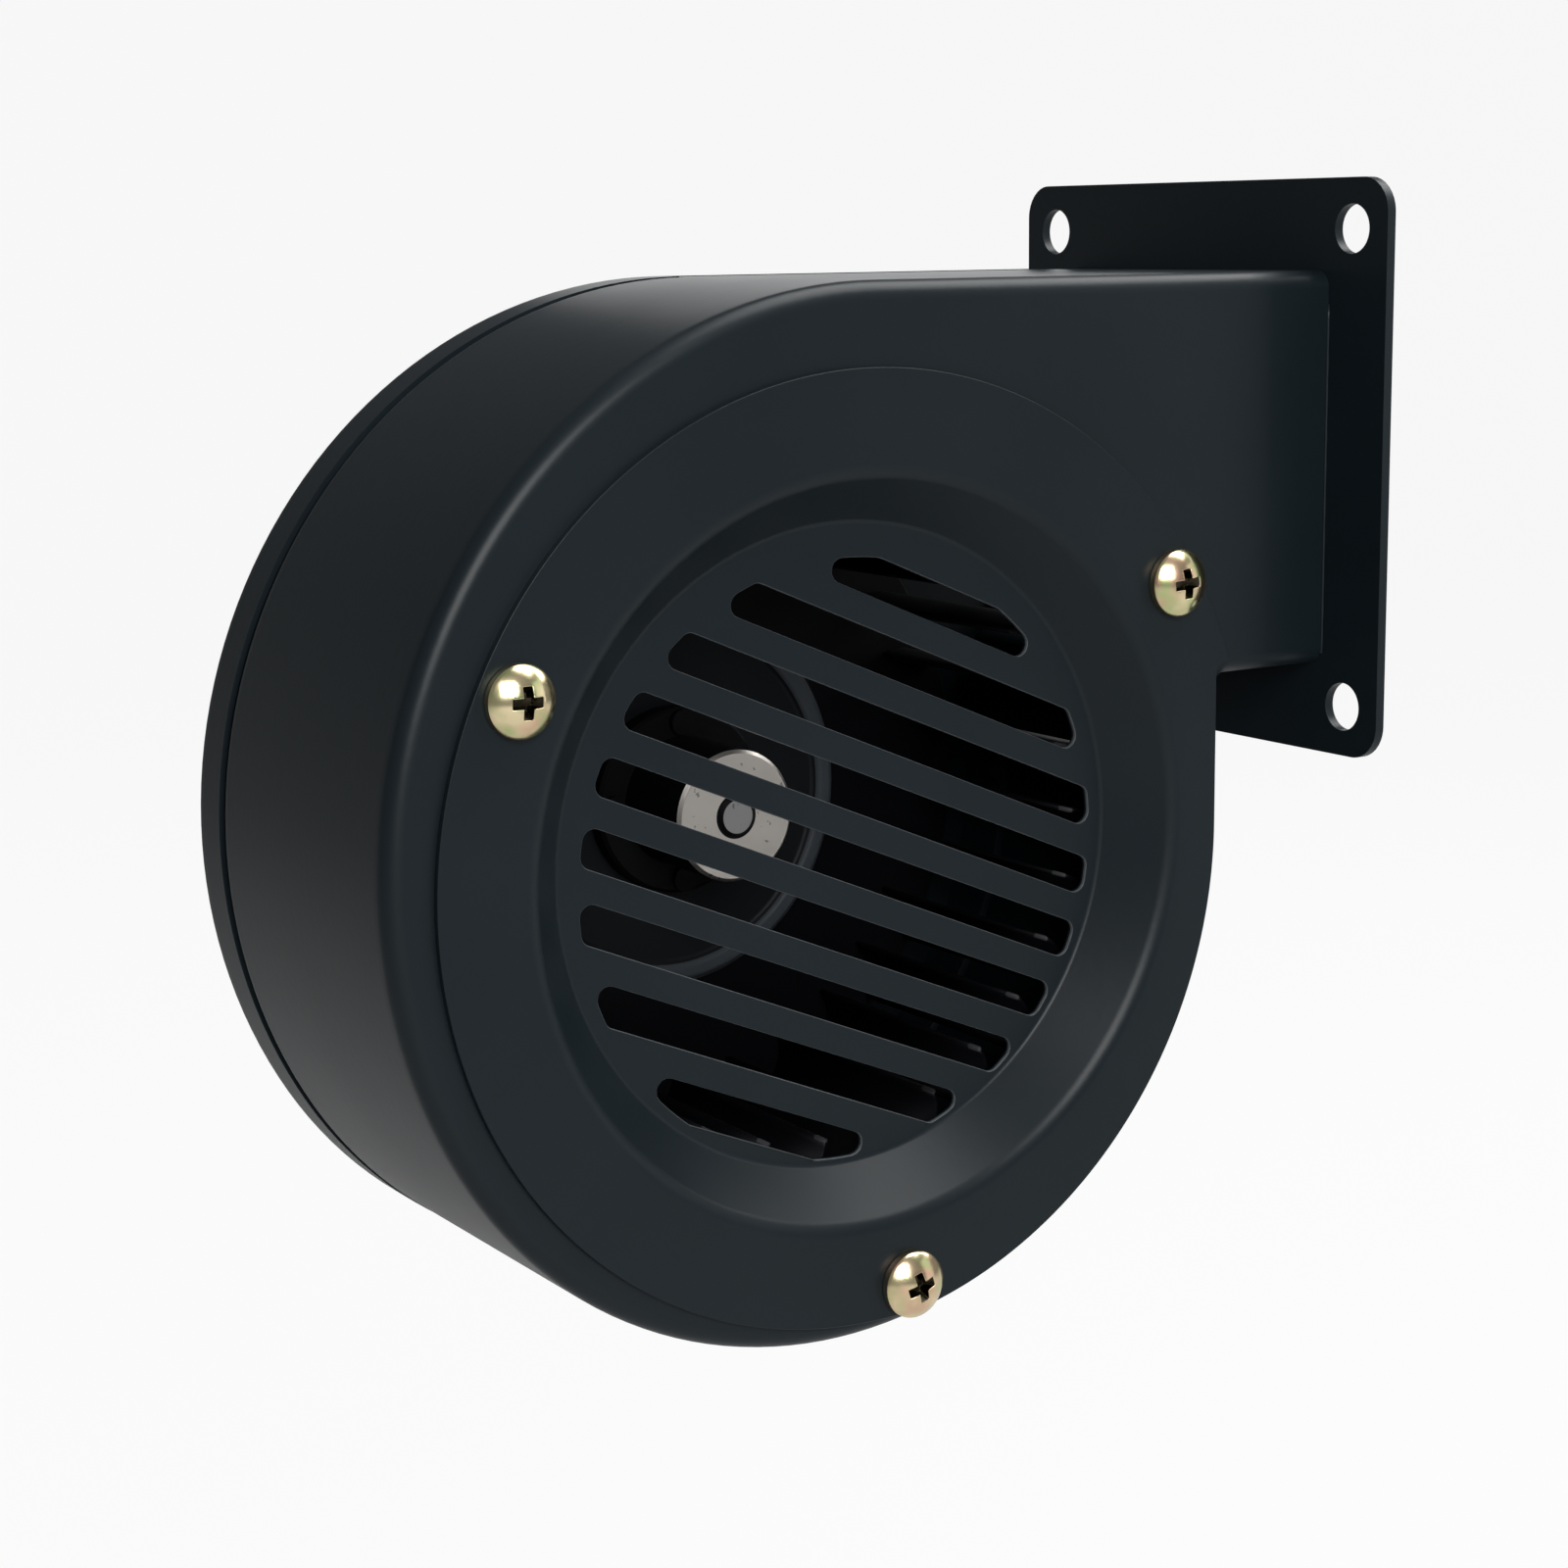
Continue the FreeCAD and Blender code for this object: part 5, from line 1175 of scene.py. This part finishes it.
class AIRMOVER_OT_screws(bpy.types.Operator):
    """Build the cover's, the lid's and the motor's screws"""
    bl_idname = "airmover.screws"
    bl_label = "Screws"

    def execute(self, context):
        sizes = context.scene.air_mover_screws
        tree = screw_tree()
        head = sizes.motor_height
        motor = (sizes.motor_head, head, sizes.motor_shank)
        tie_low, tie_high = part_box("motor_tie_screws")
        mount_low, mount_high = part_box("motor_mount_screws")
        # Name, node, places, seat, facing, seed and slot, then head radius and height, shank radius and length
        groups = (
            ("cover_screws", "inlet_cover_screws", cover_screw_spots(), COVER_LOW.y, 1, 5, "yellow_zinc",
             sizes.cover_head, sizes.cover_height, sizes.cover_shank, sizes.cover_length),
            ("lid_screw_set", "lid_screws", node_centres("lid_screws"), LID_HIGH.y, -1, 3, "bright_zinc",
             sizes.lid_head, sizes.lid_height, sizes.lid_shank, sizes.lid_length),
            ("tie_screw_set", "motor_tie_screws", node_centres("motor_tie_screws"), tie_high.y - head, -1, 4,
             "bright_zinc", *motor, tie_high.y - tie_low.y - head),
            ("mount_screw_set", "motor_mount_screws", node_centres("motor_mount_screws"), mount_low.y + head, 1, 6,
             "bright_zinc", *motor, mount_high.y - mount_low.y - head))
        for name, node, spots, seat, facing, seed, slot, *measures in groups:
            master = screw_master(name + "_master", *measures)
            mesh = bpy.data.meshes.new(name)
            mesh.from_pydata([(x, seat, z) for x, z in spots], [], [])
            material = finish_of(slot + "_plate")
            piece = grow(name, mesh, tree, {
                "Screw": master, "Facing": facing * math.pi / 2, "Turn Seed": seed, "Material": material})
            place(piece, HOUSING, slot, material, node)
            bpy.data.objects.remove(master)
        return {"FINISHED"}


class AIRMOVER_OT_impeller(bpy.types.Operator):
    """Build the blades, the front ring and the back disc"""
    bl_idname = "airmover.impeller"
    bl_label = "Impeller"

    def execute(self, context):
        sizes = context.scene.air_mover_impeller
        front = RING_HIGH.y
        disc_front = DISC_HIGH.y - sizes.disc_sheet
        material = finish_of("blackened_blades")
        blades = grow("blade_set", bpy.data.meshes.new("blade_set"), blade_tree(), {
            "Count": sizes.blades, "Root Radius": sizes.root, "Tip Radius": sizes.tip, "Lean": sizes.lean,
            "Camber": sizes.camber, "Sheet": sizes.sheet, "Front": front, "Length": disc_front - front,
            "Axis Point": (AXIS.x, 0.0, AXIS.z), "Material": material})
        place(blades, ROTOR, "dark_steel", material, "impeller_blades")

        inner = IMPELLER_RADIUS - sizes.ring_width
        soft = 0.3 * MM
        ring = bmesh.new()
        lathe(ring, rounded([
            (IMPELLER_RADIUS, RING_LOW.y, soft), (IMPELLER_RADIUS, RING_HIGH.y, soft),
            (inner, RING_HIGH.y, soft), (inner, RING_LOW.y, soft)], 4))
        tidy(ring)
        place(finish_mesh("front_ring_sheet", ring), ROTOR, "dark_steel", finish_of("blackened_sheet"),
              "impeller_front_ring")

        flank = sizes.bead_half / 2
        bend = 0.9 * MM
        section = [
            (sizes.disc_bore, 0.0, 0.0), (sizes.bead_radius - sizes.bead_half, 0.0, bend),
            (sizes.bead_radius - flank, -sizes.bead_height, bend),
            (sizes.bead_radius + flank, -sizes.bead_height, bend),
            (sizes.bead_radius + sizes.bead_half, 0.0, bend), (IMPELLER_RADIUS, 0.0, 0.0)]
        line = rounded(section, 5, closed=False)
        near = [(radius, disc_front + rise) for radius, rise in line]
        far = [(radius, DISC_HIGH.y + rise) for radius, rise in reversed(line)]
        disc = bmesh.new()
        lathe(disc, near + far)
        tidy(disc)
        pressing = finish_mesh("disc_pressing", disc, bevel=SOFT_EDGE["disc"])
        place(pressing, ROTOR, "dark_steel", finish_of("blackened_disc"), "impeller_back_disc")
        return {"FINISHED"}


class AIRMOVER_OT_motor(bpy.types.Operator):
    """Build the stator's stack of sheets"""
    bl_idname = "airmover.motor"
    bl_label = "Motor"

    def execute(self, context):
        sizes = context.scene.air_mover_motor
        half, mouth = sizes.slot_half, sizes.mouth_half
        corners = [
            (sizes.bore, -mouth), (sizes.slot_inner, -mouth), (sizes.slot_inner, -half), (sizes.slot_outer, -half),
            (sizes.slot_outer, half), (sizes.slot_inner, half), (sizes.slot_inner, mouth), (sizes.bore, mouth)]
        middle = Vector((AXIS.x, AXIS.z))
        pitch_angle = 2 * math.pi / sizes.slots
        bore = []
        for turned in turns(sizes.slots):
            spin = Matrix.Rotation(turned, 2)
            bore += [middle + spin @ Vector(corner) for corner in corners]
            bore += [spot for spot, _out in arc(middle, sizes.bore, turned, turned + pitch_angle, 4)[1:-1]]
        holes = [circle(sizes.screw_hole, x, z, 20) for x, z in node_centres("motor_tie_screws")]
        pitch = (STACK_HIGH.y - STACK_LOW.y) / sizes.sheets
        bm = bmesh.new()
        prism(bm, [circle(MOTOR_RADIUS), bore, *holes], STACK_LOW.y, STACK_LOW.y + pitch - sizes.sheet_gap)
        tidy(bm)
        material = finish_of("varnished_sheets")
        stack = grow("stator_stack", to_mesh("stator_stack", bm, smooth=False), stack_tree(), {
            "Count": sizes.sheets, "Pitch": pitch, "Material": material})
        place(stack, HOUSING, "lamination", material, "stator_core")
        return {"FINISHED"}


FRAME_FINISHES = {
    # The lid's tabs take the darker coat, which is painted shade
    "powder_coat_inside": ("lid_tabs",),
    "turned_hub_face": ("impeller_hub",),
    "ground_shaft_end": ("shaft",),
    "blackened_sheet": ("impeller_set_screw", "impeller_rivets", "retaining_ring"),
    "ground_steel": ("bearing_outer_rings", "bearing_inner_rings", "bearing_balls", "wave_washer", "rotor_spacers"),
    "varnished_sheets": ("rotor_core",),
    "cast_cage_metal": ("rotor_end_rings",),
    "lacquered_copper": ("stator_windings",),
    "cast_shield_paint": ("motor_front_shield", "motor_rear_shield"),
    "grommet_rubber": ("cable_grommet",),
}


class AIRMOVER_OT_frame_finishes(bpy.types.Operator):
    """Give the frame's own nodes their finishes"""
    bl_idname = "airmover.frame_finishes"
    bl_label = "Frame Finishes"

    def execute(self, context):
        for name, nodes in FRAME_FINISHES.items():
            for node in nodes:
                for socket in frame["nodes"][node].material_slots:
                    socket.material = finish_of(name)
        return {"FINISHED"}


# Name, setting of the power, place from the object's middle in metres, and size
LAMPS = (
    ("overhead", "key_power", (0.5, -0.12, 1.0), 1.0, 0.7),
    ("side", "side_power", (1.1, -0.8, 0.25), 0.6, 0.9),
    ("front", "front_power", (-0.4, -1.25, 0.6), 0.8, 0.7),
    ("edge", "edge_power", (1.1, -0.1, 0.75), 0.6, 0.6),
    ("back", "back_power", (0.75, 1.0, 0.35), 0.6, 0.35),
)


def stage_light(name, spot, aim, size_x, size_y, power):
    """Rectangular soft light that points at a place."""
    data = assign(bpy.data.lights.new(name, "AREA"), shape="RECTANGLE", size=size_x, size_y=size_y, energy=power)
    assign(new_object(name, data), location=spot,
           rotation_euler=(aim - spot).to_track_quat("-Z", "Y").to_euler())


def seen_rays(tree, direct, mirrored):
    """One amount for camera rays, another for mirror and see-through rays, and none for the rest."""
    path = make(tree, "ShaderNodeLightPath")
    both = math_node(tree, "ADD", path.outputs["Is Glossy Ray"], path.outputs["Is Transmission Ray"])
    seen = math_node(tree, "MULTIPLY", path.outputs["Is Camera Ray"], direct)
    every = math_node(tree, "ADD", seen, math_node(tree, "MULTIPLY", both, mirrored))
    return math_node(tree, "MINIMUM", every, 1.0)


def backdrop_material(paleness, direct, mirrored, floor_z):
    """Pale floor that keeps the object's shadow and looks nearly even to the camera.

    Mirror rays see less of it higher up."""
    material, tree, shader, vector = start_material("stage_pale")
    height = make(tree, "ShaderNodeSeparateXYZ", {0: vector}).outputs["Z"]
    fade = make(tree, "ShaderNodeMapRange", {
        "Value": height, "From Min": floor_z, "From Max": floor_z + FADE_HEIGHT, "To Min": mirrored,
        "To Max": FADE_SHARE * mirrored})
    tone = between(tree, noise(tree, vector, 3.0), paleness * 0.99, paleness)
    combined = make(tree, "ShaderNodeCombineColor", {part: tone for part in ("Red", "Green", "Blue")})
    set_inputs(tree, shader.inputs, {
        "Base Color": combined.outputs["Color"], "Roughness": 0.9, "Specular IOR Level": 0.0})
    even = make(tree, "ShaderNodeEmission", {"Color": WHITE, "Strength": 1.0})
    amount = seen_rays(tree, direct, fade.outputs[0])
    mixed = make(tree, "ShaderNodeMixShader", {0: amount, 1: shader.outputs[0], 2: even.outputs[0]})
    tree.links.new(mixed.outputs[0], tree.nodes["Material Output"].inputs["Surface"])
    return material


class AIRMOVER_OT_stage(bpy.types.Operator):
    """Build the camera, the floor and the lights"""
    bl_idname = "airmover.stage"
    bl_label = "Stage"

    def execute(self, context):
        stage = context.scene.air_mover_stage
        scene = context.scene
        scene.view_settings.view_transform = "Standard"
        data = assign(bpy.data.cameras.new("stage_camera"), sensor_width=36.0, lens=stage.lens, clip_start=0.01,
                      clip_end=20.0)
        camera = new_object("stage_camera", data)
        centre = Vector((AXIS.x, COVER_LOW.y, AXIS.z))
        turned = (Matrix.Rotation(-stage.camera_yaw, 3, "Z") @ Matrix.Rotation(-stage.camera_pitch, 3, "X")
                  @ Matrix.Rotation(-stage.camera_roll, 3, "Y") @ Matrix.Rotation(math.pi / 2, 3, "X"))
        camera.matrix_world = Matrix.Translation(
            centre + Vector((stage.camera_x, stage.camera_y, stage.camera_z))) @ turned.to_4x4()
        scene.camera = camera

        low, high = CAD_BOX
        floor_z = low.z - stage.floor_drop
        bm = bmesh.new()
        sweep = rounded([(-FLOOR_REACH, floor_z, 0), (FLOOR_REACH, floor_z, FLOOR_BEND),
                         (FLOOR_REACH, floor_z + WALL_HEIGHT, 0)], 16, closed=False)
        rows = [[bm.verts.new((x, y, z)) for x in (-FLOOR_SIDE, FLOOR_SIDE)] for y, z in sweep]
        for first, second in zip(rows, rows[1:]):
            bm.faces.new((first[0], first[1], second[1], second[0]))
        floor = new_object("stage_floor", to_mesh("stage_floor", bm))
        floor.data.materials.append(backdrop_material(stage.floor_tone, stage.evenness, stage.mirrored, floor_z))

        middle = (low + high) / 2
        for name, power, offset, width, height in LAMPS:
            stage_light("light_" + name, middle + Vector(offset), middle, width, height, getattr(stage, power))

        world = bpy.data.worlds.new("stage_world")
        scene.world = world
        world.use_nodes = True
        tree = world.node_tree
        tree.nodes.clear()
        light, pale = (make(tree, "ShaderNodeBackground", {"Color": WHITE, "Strength": strength})
                       for strength in (stage.world_light, stage.backdrop))
        either = make(tree, "ShaderNodeMixShader", {
            0: seen_rays(tree, 1.0, stage.mirrored), 1: light.outputs[0], 2: pale.outputs[0]})
        make(tree, "ShaderNodeOutputWorld", {"Surface": either.outputs[0]})
        return {"FINISHED"}


class AIRMOVER_PT_panel(bpy.types.Panel):
    """Buttons for the pieces and the stage"""
    bl_label = "Air Mover"
    bl_idname = "AIRMOVER_PT_panel"
    bl_space_type = "VIEW_3D"
    bl_region_type = "UI"
    bl_category = "Air Mover"

    def draw(self, context):
        for operator in OPERATORS:
            self.layout.operator(operator.bl_idname)
        for name in SETTINGS:
            box = self.layout.box()
            group = getattr(context.scene, name)
            for key in group.bl_rna.properties.keys():
                if key not in ("rna_type", "name"):
                    box.prop(group, key)


OPERATORS = (
    AIRMOVER_OT_casing,
    AIRMOVER_OT_lid,
    AIRMOVER_OT_flange,
    AIRMOVER_OT_cover,
    AIRMOVER_OT_screws,
    AIRMOVER_OT_impeller,
    AIRMOVER_OT_motor,
    AIRMOVER_OT_frame_finishes,
    AIRMOVER_OT_stage,
)

SETTINGS = {
    "air_mover_casing": CasingSizes,
    "air_mover_cover": CoverSizes,
    "air_mover_flange": FlangeSizes,
    "air_mover_impeller": ImpellerSizes,
    "air_mover_motor": MotorSizes,
    "air_mover_screws": ScrewSizes,
    "air_mover_finish": FinishColours,
    "air_mover_stage": StageSettings,
}


def register():
    """Registers the settings, the operators and the panel."""
    for name, group in SETTINGS.items():
        bpy.utils.register_class(group)
        setattr(bpy.types.Scene, name, bpy.props.PointerProperty(type=group))
    for operator in OPERATORS:
        bpy.utils.register_class(operator)
    bpy.utils.register_class(AIRMOVER_PT_panel)


def unregister():
    """Takes back what register did."""
    bpy.utils.unregister_class(AIRMOVER_PT_panel)
    for operator in reversed(OPERATORS):
        bpy.utils.unregister_class(operator)
    for name, group in SETTINGS.items():
        delattr(bpy.types.Scene, name)
        bpy.utils.unregister_class(group)


def main():
    """Registers the settings and the operators, and builds every piece and the stage."""
    register()
    for operator in OPERATORS:
        family, name = operator.bl_idname.split(".")
        getattr(getattr(bpy.ops, family), name)()


if __name__ == "__main__":
    main()
